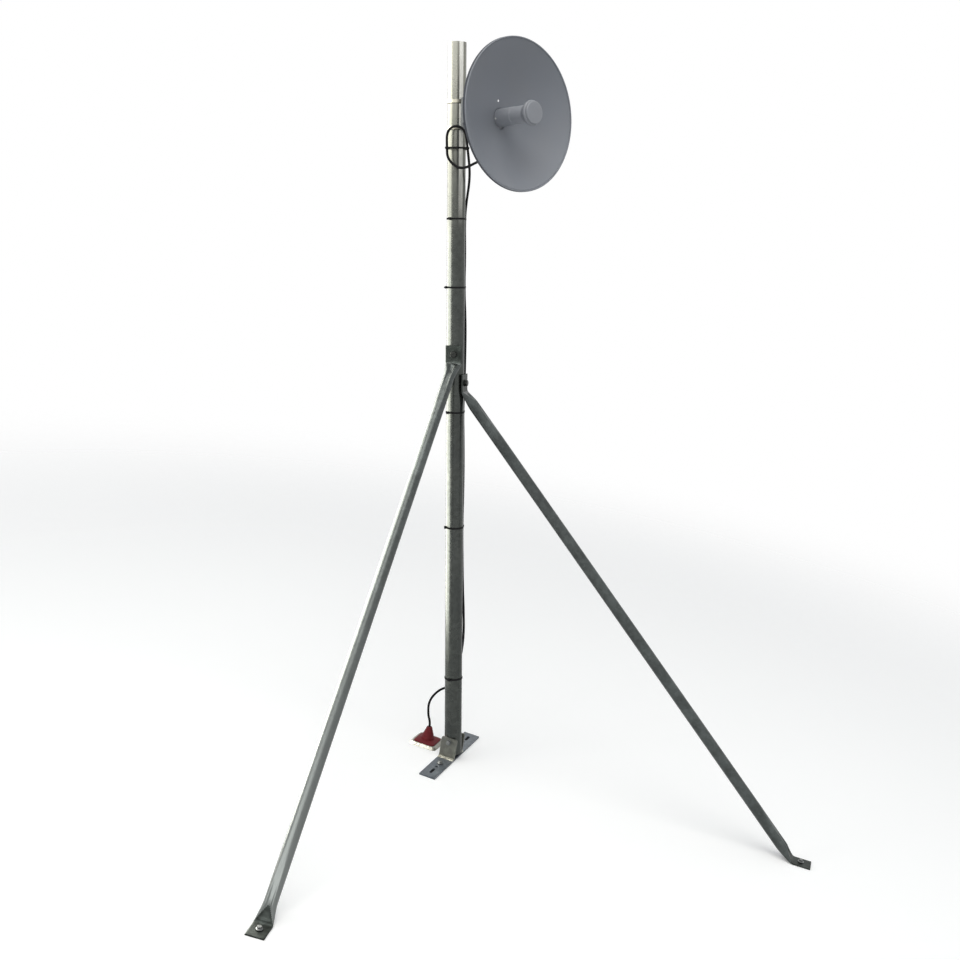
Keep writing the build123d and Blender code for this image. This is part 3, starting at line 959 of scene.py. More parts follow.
@dataclass
class CrushedStay:
    """A tube stay whose ends are pressed flat, folded and bolted."""

    name: str
    azimuth: float
    plate_azimuth: float
    bolt_z: float
    reach: float
    tube_radius: float = 16.0 * MM
    crush_width: float = 47.0 * MM
    crush_thickness: float = 4.0 * MM
    crush_length: float = 45.0 * MM
    above_bolt: float = 25.0 * MM
    below_bolt: float = 25.0 * MM
    pad_length: float = 52.0 * MM
    pad_hole: float = 24.0 * MM
    fold_radius: float = 8.0 * MM
    slit: float = 0.9 * MM
    groove_depth: float = 3.4 * MM
    groove_width: float = 6.5 * MM
    groove_length: float = 170.0 * MM
    wedge: float = 21.0 * MM
    wedge_length: float = 58.0 * MM
    crease: float = 24.15 * MM
    crease_length: float = 44.0 * MM
    crease_end: float = 42.0 * MM
    tuck: float = 8.0 * MM
    points: int = 88
    rings: list[Ring] = field(init=False, default_factory=list)

    def outline(self, half: float, groove: float, wide: float) -> list[tuple[float, float]]:
        """Cross-section of the tube where it is pressed, its girth kept.

        Args:
            half: Half of its thickness there.
            groove: Depth of the furrow that the press leaves along the upper side.
            wide: Half of the furrow's width.

        Returns:
            Points across and through the thickness, evenly spaced round the girth.
        """
        pressed = (self.tube_radius - half) / (self.tube_radius - self.crush_thickness / 2)
        flat = (self.crush_width - self.crush_thickness) * min(pressed, 1.0)
        bend = math.pi * half
        girth = 2 * (flat + bend)
        section = []
        for step in range(self.points):
            along = girth * step / self.points
            if along < flat / 2:
                across, through = along, -half
            elif along < flat / 2 + bend:
                angle = (along - flat / 2) / half - math.pi / 2
                across, through = flat / 2 + half * math.cos(angle), half * math.sin(angle)
            elif along < 1.5 * flat + bend:
                across, through = flat + bend - along, half
            elif along < 1.5 * flat + 2 * bend:
                angle = (along - 1.5 * flat - bend) / half + math.pi / 2
                across, through = half * math.cos(angle) - flat / 2, half * math.sin(angle)
            else:
                across, through = along - girth, -half
            if through < 0:
                through += groove * math.exp(-((across / wide) ** 4))
            section.append((across, through))
        return section

    def ring(
        self,
        at: Vector,
        heading: Vector,
        sideways: Vector,
        half: float,
        furrow: tuple[float, float] = (0.0, 1.0),
    ) -> None:
        """Add one cross-section.

        Args:
            at: Its centre.
            heading: Direction along the stay.
            sideways: Direction near the flat's width.
            half: Half of the thickness there.
            furrow: Depth and half width of the furrow there.
        """
        side = (sideways - heading * sideways.dot(heading)).normalized()
        thick = side.cross(heading).normalized()
        section = self.outline(half, *furrow)
        self.rings.append([at + side * x + thick * y for x, y in section])

    def thickness(self, distance: float) -> float:
        """Half thickness of the tube, which eases from the flat into the round.

        Args:
            distance: Distance past the fold.

        Returns:
            Half of the thickness there.
        """
        share = max(0.0, distance / self.crush_length)
        if share > 0.75:
            share = min(share, 1.25)
            share -= (share - 0.75) ** 2
        narrow = self.crush_thickness / 2
        return narrow + (self.tube_radius - narrow) * min(share, 1.0)

    def furrow(self, distance: float, wedge: float) -> tuple[float, float]:
        """Depth and half width of the press's mark: a wedge that runs out in a furrow.

        Args:
            distance: Distance past the fold.
            wedge: Half width of the wedge at the fold, or zero for a furrow alone.

        Returns:
            Depth and half width.
        """
        wide = max(self.groove_width, wedge * (1.0 - distance / self.wedge_length))
        if distance < self.crush_length:
            room = self.thickness(distance) - self.crush_thickness / 2
            return min(0.62 * room, 1.6 * self.groove_depth), wide
        left = (self.groove_length - distance) / (self.groove_length - self.crush_length)
        return 1.6 * self.groove_depth * max(0.0, left) ** 1.3, wide

    def fold(
        self, corner: Vector, before: Vector, after: Vector, sideways: Vector, sign: int
    ) -> None:
        """Round the fold at a corner of the centre line.

        Args:
            corner: The corner.
            before: Direction into it.
            after: Direction out of it.
            sideways: Direction across the flat.
            sign: One where the tube grows after the fold and minus one before it.
        """
        start = corner - before * self.fold_radius
        end = corner + after * self.fold_radius
        for step in range(9):
            share = step / 8
            at = start.lerp(corner, share).lerp(corner.lerp(end, share), share)
            past = sign * (2 * share - 1) * self.fold_radius
            self.ring(at, before.lerp(after, share).normalized(), sideways, self.thickness(past))

    def place(self) -> tuple[Vector, Vector, Vector, Vector]:
        """Work out where the stay folds.

        Returns:
            The upper fold, the lower fold, the direction that the upper plate faces and
            the direction of the pad.
        """
        out, plate = level_dir(self.azimuth), level_dir(self.plate_azimuth)
        centre = Vector((MAST_X, 0.0, 0.0))
        half = self.crush_thickness / 2
        top = centre + plate * (MAST_RADIUS + half)
        top.z = self.bolt_z - self.below_bolt
        foot = centre + out * self.reach
        low = slope_point(foot.x, foot.y, half)
        along = (low - top).normalized()
        pad_dir = SLOPE_NORMAL.cross(along).cross(SLOPE_NORMAL).normalized()
        return top, low, plate, pad_dir

    def build(self, finish: dict[str, bpy.types.Material]) -> None:
        """Build the stay, its bolt through the mast and its pad screw.

        Args:
            finish: Materials by the name of their use.
        """
        top, low, plate, pad_dir = self.place()
        across = Vector((-plate.y, plate.x, 0.0))
        pad_across = SLOPE_NORMAL.cross(pad_dir)
        down = -UP
        half = self.crush_thickness / 2
        end = top - down * (self.above_bolt + self.below_bolt)
        self.ring(end + down * self.tuck, down, across, self.slit / 2)
        self.ring(end, down, across, self.slit / 2)
        for depth in (0.0, 1.0 * MM, self.above_bolt, self.above_bolt + self.below_bolt / 2):
            self.ring(end + down * depth, down, across, half)
        along = low - top
        run = along.length
        along.normalize()
        self.fold(top, down, along, across, 1)
        shaped = [self.fold_radius + 4 * MM * step for step in range(1, 14)]
        shaped += [72 * MM, 90 * MM, 115 * MM, 140 * MM, self.groove_length]
        for past in shaped:
            self.ring(
                top + along * past, along, across, self.thickness(past), self.furrow(past, 0.0)
            )
        free = run - 2 * self.groove_length
        for step in range(1, 12):
            side = across.lerp(pad_across, step / 12).normalized()
            at = top + along * (self.groove_length + free * step / 12)
            self.ring(at, along, side, self.tube_radius)
        for past in reversed(shaped):
            self.ring(
                low - along * past,
                along,
                pad_across,
                self.thickness(past),
                self.furrow(past, self.wedge),
            )
        self.fold(low, along, pad_dir, pad_across, -1)
        for share in (0.35, 0.7, 0.98, 1.0):
            self.ring(low + pad_dir * self.pad_length * share, pad_dir, pad_across, half)
        tip = low + pad_dir * self.pad_length
        self.ring(tip, pad_dir, pad_across, self.slit / 2)
        self.ring(tip - pad_dir * self.tuck, pad_dir, pad_across, self.slit / 2)
        stay = add_piece(
            self.name, skin(self.rings), finish[self.name], (self.name,), crease=42.0
        )
        # The plates at both ends and a wedge by the lower fold take the dark zinc: painted shade
        stay.data.materials.append(finish["pressed"])
        rows = len(self.rings)
        for face in stay.data.polygons:
            row = face.vertices[0] // self.points
            past = (low - face.center).dot(along)
            reach = self.crease * (1.0 - past / self.crease_length)
            beside = abs((face.center - low).dot(pad_across))
            painted_shade_wedge = 0.0 < past < self.crease_end and beside < reach
            if row < 10 or row > rows - 12 or painted_shade_wedge:
                face.material_index = 1
        ThroughBolt(
            self.name,
            Vector((MAST_X, 0, self.bolt_z)),
            plate,
            MAST_RADIUS + self.crush_thickness,
            MAST_RADIUS,
            10.0 * MM,
            16.0 * MM,
            (self.name.replace("stay", "bolt"), self.name.replace("stay", "nut")),
        ).build(finish["stay_bolt"])
        seat = low + pad_dir * self.pad_hole + SLOPE_NORMAL * half
        PadScrew(f"{self.name}_screw", seat).build(finish["bolt"], finish["black"])


@dataclass
class MastAndFoot:
    """The mast tube on its welded foot, with the pivot bolt and the strip's screws."""

    strip_half_width: float = 25.0 * MM
    ear_outer: float = 31.4 * MM
    plate: float = 5.0 * MM
    bead_radius: float = 3.4 * MM
    screw_reach: float = 78.0 * MM
    hole_reach: float = 102.0 * MM
    slot_reach: float = 132.0 * MM
    slot_length: float = 23.0 * MM
    bead_rows: tuple[float, float] = (0.6 * MM, 7.4 * MM)

    def sealant(self, along: float, length: float) -> bpy.types.Mesh:
        """A dark plug in a slot or a hole of the strip: painted shade in its depth.

        Args:
            along: Place of its middle along the strip.
            length: Straight length of the slot.

        Returns:
            The plug's mesh.
        """
        place = frame_at(Vector((0.0, along, 0.0)), SLOPE_NORMAL, SLOPE_DOWN)
        rings = []
        for radius, height in ((4.4, 0.1), (4.4, 1.1), (3.2, 1.5), (1.0, 1.6)):
            r, z = radius * MM, height * MM

            def slotted(angle: float) -> tuple[float, float, float]:
                """Point of the slot's outline at an angle."""
                shift = math.copysign(length / 2, math.sin(angle))
                return r * math.cos(angle), r * math.sin(angle) + shift, z

            rings.append(round_ring(place, 32, slotted))
        return skin(rings)

    def weld(self, side: float, out: float) -> bpy.types.Mesh:
        """A rippled weld bead at the foot of one ear.

        Args:
            side: Minus one for the near ear and one for the far ear.
            out: How far the bead lies outside the ear's face.

        Returns:
            The bead's mesh.
        """
        rings = []
        ripples = 60
        for step in range(ripples + 1):
            share = step / ripples
            along = -self.strip_half_width + 2 * self.strip_half_width * share
            wave = noise.noise(Vector((along * 260, side * 7.0, out * 900)))
            swell = self.bead_radius * (1.0 + 0.2 * math.sin(step * 2.1) + 0.4 * wave)
            if step in (0, ripples):
                swell *= 0.45
            corner = Vector((0, side * (self.ear_outer + out), 0))
            base = corner + SLOPE_DOWN * along + SLOPE_NORMAL * (self.plate + 0.6 * MM)
            ring = []
            for turn in range(12):
                angle = math.tau * turn / 12
                reach = Vector((0, side * math.cos(angle), 0)) + SLOPE_NORMAL * math.sin(angle)
                ring.append(base + reach * swell)
            rings.append(ring)
        return skin(rings)

    def build(self, finish: dict[str, bpy.types.Material]) -> None:
        """Dress the CAD nodes and add the small pieces.

        Args:
            finish: Materials by the name of their use.
        """
        dress(["mast_tube"], finish["mast"])
        dress(["foot_strip"], finish["foot"])
        dress(["near_ear", "far_ear"], finish["ear"])
        for side, word in ((-1.0, "near"), (1.0, "far")):
            # Bright weld beads: partly a painted highlight
            beads = merged([self.weld(side, out) for out in self.bead_rows])
            add_piece(f"{word}_weld_bead", beads, finish["weld"])
            # A dark plug in each slot and hole: painted shade
            slot = self.sealant(side * self.slot_reach, self.slot_length)
            hole = self.sealant(side * self.hole_reach, 0.0)
            add_piece(f"{word}_slot_sealant", merged([slot, hole]), finish["black"])
        ThroughBolt(
            "pivot",
            Vector((MAST_X, 0, PIVOT_Z)),
            Vector((0, 1, 0)),
            self.ear_outer,
            self.ear_outer,
            8.0 * MM,
            13.0 * MM,
            ("pivot_bolt", "pivot_nut"),
        ).build(finish["bolt"])
        for side, word in ((-1.0, "near"), (1.0, "far")):
            seat = Vector((0, side * self.screw_reach, 0)) + SLOPE_NORMAL * self.plate
            PadScrew(f"{word}_strip_screw", seat).build(finish["bolt"], finish["black"])


@dataclass
class DishUnit:
    """The small dish with its feed, radio body, aiming arm and band clamps."""

    azimuth: float = math.radians(-24.7)
    tilt: float = math.radians(2.0)
    reach: float = 247.0 * MM
    radius: float = 194.0 * MM
    depth: float = 76.0 * MM
    wall: float = 1.6 * MM
    rim_skirt: float = 11.0 * MM
    hub_hole: float = 23.2 * MM
    notch_at: float = -24.0 * MM
    bead: float = 1.9 * MM
    hem: float = 1.4 * MM
    feed_radius: float = 22.5 * MM
    collar_radius: float = 23.4 * MM
    collar_end: float = 226.4 * MM
    flare_start: float = 268.0 * MM
    flare_end: float = 287.0 * MM
    cap_radius: float = 32.0 * MM
    disc_radius: float = 29.0 * MM
    disc_rounding: float = 3.0 * MM
    pin_at: float = 177.0 * MM
    pin_turn: float = math.radians(190.0)
    sight_hole: float = 3.0 * MM
    sight_at: tuple[float, float] = (-9.8 * MM, 42.5 * MM)
    notch_radius: float = 4.0 * MM
    notch_length: float = 10.0 * MM
    radio_radius: float = 34.0 * MM
    radio_start: float = 117.9 * MM
    radio_end: float = 159.9 * MM
    arm_rise: float = 25.3 * MM
    cheek_face: float = 9.0 * MM
    tilt_bolt_reach: float = 103.6 * MM
    band_spread: float = 70.0 * MM
    band_azimuth: float = math.radians(100.0)
    frame: Matrix = field(init=False)
    level: Vector = field(init=False)

    def __post_init__(self) -> None:
        """Work out the dish's own frame."""
        self.level = level_dir(self.azimuth)
        aim = self.level * math.cos(self.tilt) + UP * math.sin(self.tilt)
        side = Vector((-self.level.y, self.level.x, 0.0))
        self.frame = frame_at(Vector((MAST_X, 0, DISH_Z)), aim, side)

    def bowl(self, radius: float) -> float:
        """Distance of the bowl's inner face along the dish axis."""
        vertex = self.reach - self.depth
        return vertex + self.depth * (radius / self.radius) ** 2

    def reflector(self) -> bpy.types.Mesh:
        """The pressed bowl with a rolled edge and a skirt turned back.

        Returns:
            The bowl's mesh.
        """
        lip = self.radius - 2 * self.bead
        radii = [self.hub_hole + (lip - self.hub_hole) * step / 40 for step in range(41)]
        profile = [(radius, self.bowl(radius)) for radius in radii]
        outer = self.radius + self.wall
        bead_at = (outer - self.bead, self.reach - self.bead)
        profile.append((lip + 0.7 * MM, self.bowl(lip) - 0.5 * MM))
        profile += arc(bead_at, self.bead, range(190, -70, -20))
        low = self.reach - self.rim_skirt
        waist = outer - 0.9 * MM
        profile += [(waist, bead_at[1] - 2.4 * MM), (waist, low + 3.2 * MM)]
        hem_at = (outer - self.hem, low + self.hem)
        profile += arc(hem_at, self.hem, range(60, -120, -20))
        inner = outer - 2.4 * MM
        profile += [(inner, low + 0.8 * MM), (inner, self.bowl(lip) - 2.2 * MM)]
        profile += [
            (radius - 0.6 * MM, self.bowl(radius) - self.wall) for radius in reversed(radii[1:-1])
        ]
        profile += [(self.hub_hole, self.bowl(self.hub_hole) - self.wall)]
        profile.append(profile[0])
        return lathe(profile, self.frame, 192)

    def feed(self) -> dict[str, bpy.types.Mesh]:
        """The feed tube, its collar and its flared cap.

        Returns:
            Meshes by name.
        """
        vertex = self.reach - self.depth
        start = vertex - self.wall
        tube = lathe([(self.feed_radius, start), (self.feed_radius, self.flare_start)], self.frame)
        soft = 0.8 * MM
        collar = lathe(
            [
                (self.feed_radius - soft, start),
                (self.collar_radius, start),
                (self.collar_radius, self.collar_end - soft),
                (self.collar_radius - soft, self.collar_end),
                (self.feed_radius - soft, self.collar_end),
            ],
            self.frame,
        )
        flare = []
        for step in range(11):
            share = step / 10
            eased = share * share * (3 - 2 * share)
            flare.append(
                (
                    self.feed_radius + (self.cap_radius - self.feed_radius) * eased,
                    self.flare_start + (self.flare_end - self.flare_start) * share,
                )
            )
        back = self.flare_end + 5.8 * MM
        flare += [
            (self.cap_radius, back - 3.6 * MM),
            (self.cap_radius - 0.3 * MM, back - 2.2 * MM),
            (self.cap_radius - 1.1 * MM, back - 0.9 * MM),
            (self.disc_radius + 0.6 * MM, back),
            (self.disc_radius + 0.1 * MM, back - 0.6 * MM),
            (self.disc_radius - 1.5 * MM, back - 0.6 * MM),
        ]
        shell = lathe([(self.feed_radius - soft, self.flare_start)] + flare, self.frame)
        front = self.flare_end + 12.0 * MM
        turn = self.disc_rounding
        disc = [(self.disc_radius - 0.5 * MM, back - 0.5 * MM), (self.disc_radius, back)]
        for step in range(9):
            angle = math.pi / 2 * step / 8
            across = self.disc_radius - turn * (1 - math.cos(angle))
            disc.append((across, front - turn + turn * math.sin(angle)))
        disc += [(self.disc_radius * 0.5, front), (0.2 * MM, front)]
        return {
            "feed_tube": tube,
            "feed_collar": collar,
            "feed_cap": merged([shell, lathe(disc, self.frame)]),
        }

    def radio(self) -> bpy.types.Mesh:
        """The round radio body with cooling grooves and a soft back edge.

        Returns:
            Its mesh.
        """
        soft = 6 * MM
        profile = []
        for step in range(7):
            angle = math.pi / 2 * step / 6
            across = self.radio_radius - soft * (1 - math.sin(angle))
            profile.append((across, self.radio_start + soft * (1 - math.cos(angle))))
        place = self.radio_start + 10 * MM
        while place < self.radio_end - 8 * MM:
            profile += [
                (self.radio_radius, place),
                (self.radio_radius - 1.4 * MM, place + 0.6 * MM),
                (self.radio_radius - 1.4 * MM, place + 2.0 * MM),
                (self.radio_radius, place + 2.6 * MM),
            ]
            place += 6.5 * MM
        profile.append((self.radio_radius, self.radio_end))
        return lathe(profile, self.frame, 96)

    def band(self, height: float) -> bpy.types.Mesh:
        """A worm-drive band: strip, housing and slotted screw.

        Args:
            height: Height of its middle.

        Returns:
            The band's mesh.
        """
        ring_place = Matrix.Translation((MAST_X, 0, height))
        inner, thick, half = MAST_RADIUS + 0.05 * MM, 0.7 * MM, 4.5 * MM
        section = [(inner, -half), (inner + thick, -half), (inner + thick, half), (inner, half)]
        strip = lathe(section + section[:1], ring_place, 96)
        out = level_dir(self.band_azimuth)
        side = Vector((-out.y, out.x, 0))
        seat = Vector((MAST_X, 0, height)) + out * (inner + thick)
        rings = []
        for place, high, tall in (
            (-7.0, 4.6, 4.2), (-6.4, 5.4, 5.6), (6.4, 5.4, 5.6), (7.0, 4.6, 4.2)
        ):
            ring = []
            for step in range(24):
                sine, cosine = math.sin(math.tau * step / 24), math.cos(math.tau * step / 24)
                up = high * MM * math.copysign(abs(sine) ** 0.5, sine)
                rise = tall * MM * (0.5 + 0.5 * math.copysign(abs(cosine) ** 0.6, cosine))
                ring.append(seat + side * place * MM + UP * up + out * rise)
            rings.append(ring)
        housing = skin(rings)
        screw = HexFastener(6 * MM, 7.0 * MM, 4.0 * MM, 3.4 * MM, 0.6 * MM)
        screw_place = frame_at(seat + side * 7.0 * MM + out * 3.4 * MM, side, out)
        return merged([strip, housing, screw.head(screw_place), screw.washer(screw_place)])

    def liner(self, height: float) -> bpy.types.Mesh:
        """A dark strip that shows under a band's lower edge: a painted shadow of the band.

        Args:
            height: Height of the band's middle.

        Returns:
            The strip's mesh.
        """
        inner, outer = MAST_RADIUS + 0.05 * MM, MAST_RADIUS + 0.5 * MM
        low, high = -6.4 * MM, -4.4 * MM
        section = [(inner, low), (outer, low + 0.3 * MM), (outer, high), (inner, high)]
        return lathe(section + section[:1], Matrix.Translation((MAST_X, 0, height)), 96)

    def gland(self) -> bpy.types.Mesh:
        """The cable gland: hexagon, domed nut and tapered sleeve.

        Returns:
            Its mesh.
        """
        at = (self.radio_start + self.radio_end) / 2
        top = self.frame @ Vector((0, 0, at))
        top.z -= self.radio_radius - 2 * MM
        place = frame_at(top, -UP, self.level)
        hexagon = HexFastener(12 * MM, 17 * MM, 8.0 * MM, 10 * MM, 2.2 * MM)
        dome = lathe(
            [
                (8.0 * MM, 10.2 * MM),
                (8.0 * MM, 15.0 * MM),
                (7.2 * MM, 18.5 * MM),
                (5.6 * MM, 21.5 * MM),
                (4.4 * MM, 23.5 * MM),
                (4.0 * MM, 34.0 * MM),
                (3.4 * MM, 36.0 * MM),
            ],
            place,
            40,
        )
        return merged([hexagon.washer(place), hexagon.head(place), dome])

    def build(self, finish: dict[str, bpy.types.Material]) -> None:
        """Build and dress the dish unit.

        Args:
            finish: Materials by the name of their use.
        """
        dish = add_piece(
            "pressed_dish",
            self.reflector(),
            finish["dish"],
            ("dish_reflector",),
            crease=60.0,
        )
        self.pierce(dish)
        # The skirt takes the darker enamel: painted shade
        dish.data.materials.append(finish["hem"])
        to_dish = self.frame.inverted()
        for face in dish.data.polygons:
            middle = to_dish @ face.center
            across = middle.xy.length
            if across > self.radius - 1.4 * MM and middle.z < self.reach - 2.6 * MM:
                face.material_index = 1
        # The feed's ABS is painted lighter than the cap's: painted light
        for name, mesh in self.feed().items():
            paint = finish["cap"] if name == "feed_cap" else finish["feed"]
            add_piece(f"{name}_shell", mesh, paint, (name,))
        spoke = self.frame.to_3x3() @ level_dir(self.pin_turn)
        seat = self.frame @ Vector((0, 0, self.pin_at)) + spoke * self.collar_radius
        stud = [(2.6, -0.4), (2.6, 0.5), (2.1, 1.2), (1.2, 1.6), (0.1, 1.7)]
        # The pale lock screw: a painted highlight
        add_piece(
            "feed_lock_screw",
            lathe([(r * MM, h * MM) for r, h in stud], frame_at(seat, spoke, self.level), 32),
            finish["pin"],
        )
        add_piece("ribbed_radio_body", self.radio(), finish["feed"], ("radio_housing",))
        dress(["hub_plate", "tilt_lug"], finish["feed"])
        dress(["tilt_arm", "mast_saddle"], finish["bracket"])
        saddle_z = DISH_Z + self.arm_rise
        for sign, word in ((-1.0, "lower"), (1.0, "upper")):
            # A dark strip under each band: painted shadow
            add_piece(
                f"{word}_band_liner",
                self.liner(saddle_z + sign * self.band_spread / 2),
                finish["black"],
            )
            add_piece(
                f"{word}_worm_band",
                self.band(saddle_z + sign * self.band_spread / 2),
                finish["band"],
                (f"band_clamp_{word}",),
            )
        side = Vector((-self.level.y, self.level.x, 0.0))
        ThroughBolt(
            "tilt",
            Vector((MAST_X, 0, saddle_z)) + self.level * self.tilt_bolt_reach,
            side,
            self.cheek_face,
            self.cheek_face,
            8.0 * MM,
            13.0 * MM,
            ("tilt_bolt", "tilt_nut"),
        ).build(finish["bolt"])
        add_piece("domed_cable_gland", self.gland(), finish["black"], ("cable_gland",))

    def pierce(self, dish: bpy.types.Object) -> None:
        """Cut the sight hole and the curved slot through the bowl.

        Args:
            dish: The bowl.
        """
        low, high = 120 * MM, 260 * MM
        at = self.frame @ Matrix.Translation((*self.sight_at, 0))
        cutters = [lathe([(self.sight_hole, low), (self.sight_hole, high)], at, 32)]

        def slotted(angle: float) -> tuple[float, float, float]:
            """Point of the slot's outline at an angle, on the cutter's axis."""
            shift = math.copysign(self.notch_length / 2, math.cos(angle))
            across = shift + self.notch_radius * math.cos(angle)
            return across, self.notch_radius * math.sin(angle) + self.notch_at, 0.0

        section = round_ring(self.frame, 48, slotted)
        axis = self.frame.to_3x3() @ UP
        cutters.append(skin([[spot + axis * z for spot in section] for z in (low, high)]))
        for mesh in cutters:
            tool = bpy.data.objects.new("cutter", mesh)
            bpy.context.scene.collection.objects.link(tool)
            cut = dish.modifiers.new("hole", "BOOLEAN")
            cut.operation = "DIFFERENCE"
            cut.object = tool
            cut.solver = "EXACT"
            bpy.context.view_layer.update()
            graph = bpy.context.evaluated_depsgraph_get()
            pierced = bpy.data.meshes.new_from_object(dish.evaluated_get(graph))
            dish.modifiers.clear()
            dish.data = pierced
            bpy.data.objects.remove(tool)


@dataclass
class TiedCable:
    """The black cable from the gland to the boot, with its ties."""

    diameter: float = 7.0 * MM
    length: float = 2.13
    tie_width: float = 4.8 * MM
    tie_thickness: float = 1.3 * MM
    route: tuple[tuple[float, float, float], ...] = (
        (0.1353, -0.0580, 1.7903),
        (0.1353, -0.0580, 1.7405),
        (0.0940, -0.0380, 1.7335),
        (0.0400, -0.0380, 1.7085),
        (0.0020, -0.0460, 1.7360),
        (-0.0005, -0.0450, 1.7730),
        (0.0000, -0.0460, 1.8135),
        (0.0240, -0.0385, 1.8290),
        (0.0470, -0.0270, 1.8135),
        (0.0500, -0.0200, 1.7685),
        (0.0520, -0.0080, 1.7145),
        (0.0420, 0.0140, 1.6780),
        (0.0300, 0.0260, 1.6360),
        (0.0240, 0.0255, 1.5805),
        (0.0261, 0.0260, 1.4799),
        (0.0240, 0.0255, 1.3926),
        (0.0307, 0.0223, 1.2900),
        (0.0296, 0.0227, 1.1850),
        (0.0271, 0.0246, 1.1121),
        (0.0231, 0.0260, 1.0409),
        (0.0250, 0.0263, 0.9554),
        (0.0257, 0.0264, 0.8700),
        (0.0248, 0.0265, 0.7875),
        (0.0231, 0.0260, 0.7051),
        (0.0243, 0.0257, 0.6125),
        (0.0271, 0.0247, 0.5199),
        (0.0310, 0.0225, 0.4518),
        (0.0333, 0.0202, 0.3801),
        (0.0240, 0.0278, 0.3219),
        (0.0123, 0.0293, 0.2737),
        (0.0061, 0.0293, 0.2289),
        (-0.0200, 0.0370, 0.2030),
        (-0.0560, 0.0360, 0.1860),
        (-0.0865, 0.0340, 0.1480),
        (-0.0885, 0.0335, 0.1040),
        (-0.0807, 0.0330, 0.0804),
        (-0.0840, 0.0330, 0.0607),
    )
    ties: tuple[tuple[float, tuple[tuple[float, float], ...], float], ...] = (
        (1.7685, ((0.0500, -0.0200), (-0.0005, -0.0450)), 1.5),
        (1.5805, ((0.0240, 0.0255),), 4.4),
        (1.3926, ((0.0240, 0.0255),), 3.6),
        (1.0409, ((0.0231, 0.0260),), 4.2),
        (0.7051, ((0.0231, 0.0260),), 3.8),
        (0.2481, ((0.0087, 0.0295),), 4.6),
    )

    def line(self, finish: bpy.types.Material) -> bpy.types.Object:
        """The cable as one smooth spline with a round section.

        Args:
            finish: Its material.

        Returns:
            The curve object.
        """
        curve = bpy.data.curves.new("network_cable_jacket", "CURVE")
        curve.dimensions = "3D"
        spline = curve.splines.new("NURBS")
        spline.points.add(len(self.route) - 1)
        for point, place in zip(spline.points, self.route):
            point.co = (*place, 1.0)
        spline.order_u = 3
        spline.use_endpoint_u = True
        spline.resolution_u = 12
        curve.bevel_depth = self.diameter / 2
        curve.bevel_resolution = 6
        curve.use_fill_caps = True
        curve.materials.append(finish)
        piece = bpy.data.objects.new("network_cable_jacket", curve)
        bpy.context.scene.collection.objects.link(piece)
        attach(piece, "root")
        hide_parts("network_cable")
        log.info("built %s over %d route points", piece.name, len(self.route))
        return piece

    def tie(
        self, height: float, strands: Sequence[tuple[float, float]], head_angle: float
    ) -> bpy.types.Mesh:
        """One nylon tie: strap round the mast and the strands, lock and cut tail.

        Args:
            height: Height of its middle.
            strands: Places of the strands that it holds.
            head_angle: Angle round the mast where the lock sits, in radians.

        Returns:
            The tie's mesh.
        """
        held = [((MAST_X, 0.0), MAST_RADIUS)]
        held += [(strand, self.diameter / 2 + 0.3 * MM) for strand in strands]
        samples: list[tuple[float, float]] = []
        for centre, radius in held:
            samples += arc(centre, radius + 0.15 * MM, range(0, 360, 3))
        hull = [samples[index] for index in geometry.convex_hull_2d(samples)]
        rings = []
        count = len(hull)
        for place in range(count + 1):
            here = Vector(hull[place % count])
            before = Vector(hull[(place - 1) % count])
            after = Vector(hull[(place + 1) % count])
            heading = (after - before).normalized()
            out = Vector((heading.y, -heading.x))
            if out.dot(here - Vector((MAST_X, 0))) < 0:
                out = -out
            outer = here + out * self.tie_thickness
            half = self.tie_width / 2
            low, high = height - half, height + half
            section = ((here, low), (outer, low), (outer, high), (here, high))
            rings.append([Vector((*spot, z)) for spot, z in section])
        strap = skin(rings, False, False)
        out = level_dir(head_angle)
        side = Vector((-out.y, out.x, 0))
        reach = max((Vector(point) - Vector((MAST_X, 0))).dot(out.xy) for point in hull)
        seat = Vector((MAST_X, 0, height)) + out * reach
        block = []
        for rise, half_side, half_up in (
            (0.2, 3.4, 3.2), (0.6, 3.8, 3.6), (4.0, 3.8, 3.6), (4.6, 3.3, 3.1)
        ):
            base = seat + out * rise * MM
            wide, tall = side * half_side * MM, UP * half_up * MM
            block.append([base + wide * a + tall * b for a, b in CORNERS])
        tail = []
        for step in range(9):
            share = step / 8
            at = seat + out * (2.4 + 5.0 * share) * MM + side * (3.6 + 9.0 * share) * MM
            thick, tall = out * 0.5 * MM, UP * self.tie_width / 2 * (1 - 0.1 * share)
            tail.append([at + thick * a + tall * b for a, b in CORNERS])
        return merged([strap, skin(block), skin(tail)])

    def build(
        self, finish: dict[str, bpy.types.Material], fittings: Sequence[bpy.types.Object]
    ) -> None:
        """Args:
            finish: Materials by the name of their use.
            fittings: Pieces of the boot that the cable ends in; not used.
        """
        cable = self.line(finish["cable"])
        for number, (height, strands, head_angle) in enumerate(self.ties, start=1):
            add_piece(
                f"nylon_tie_{number}",
                self.tie(height, strands, head_angle),
                finish["black"],
                (f"cable_tie_{number}",),
            )


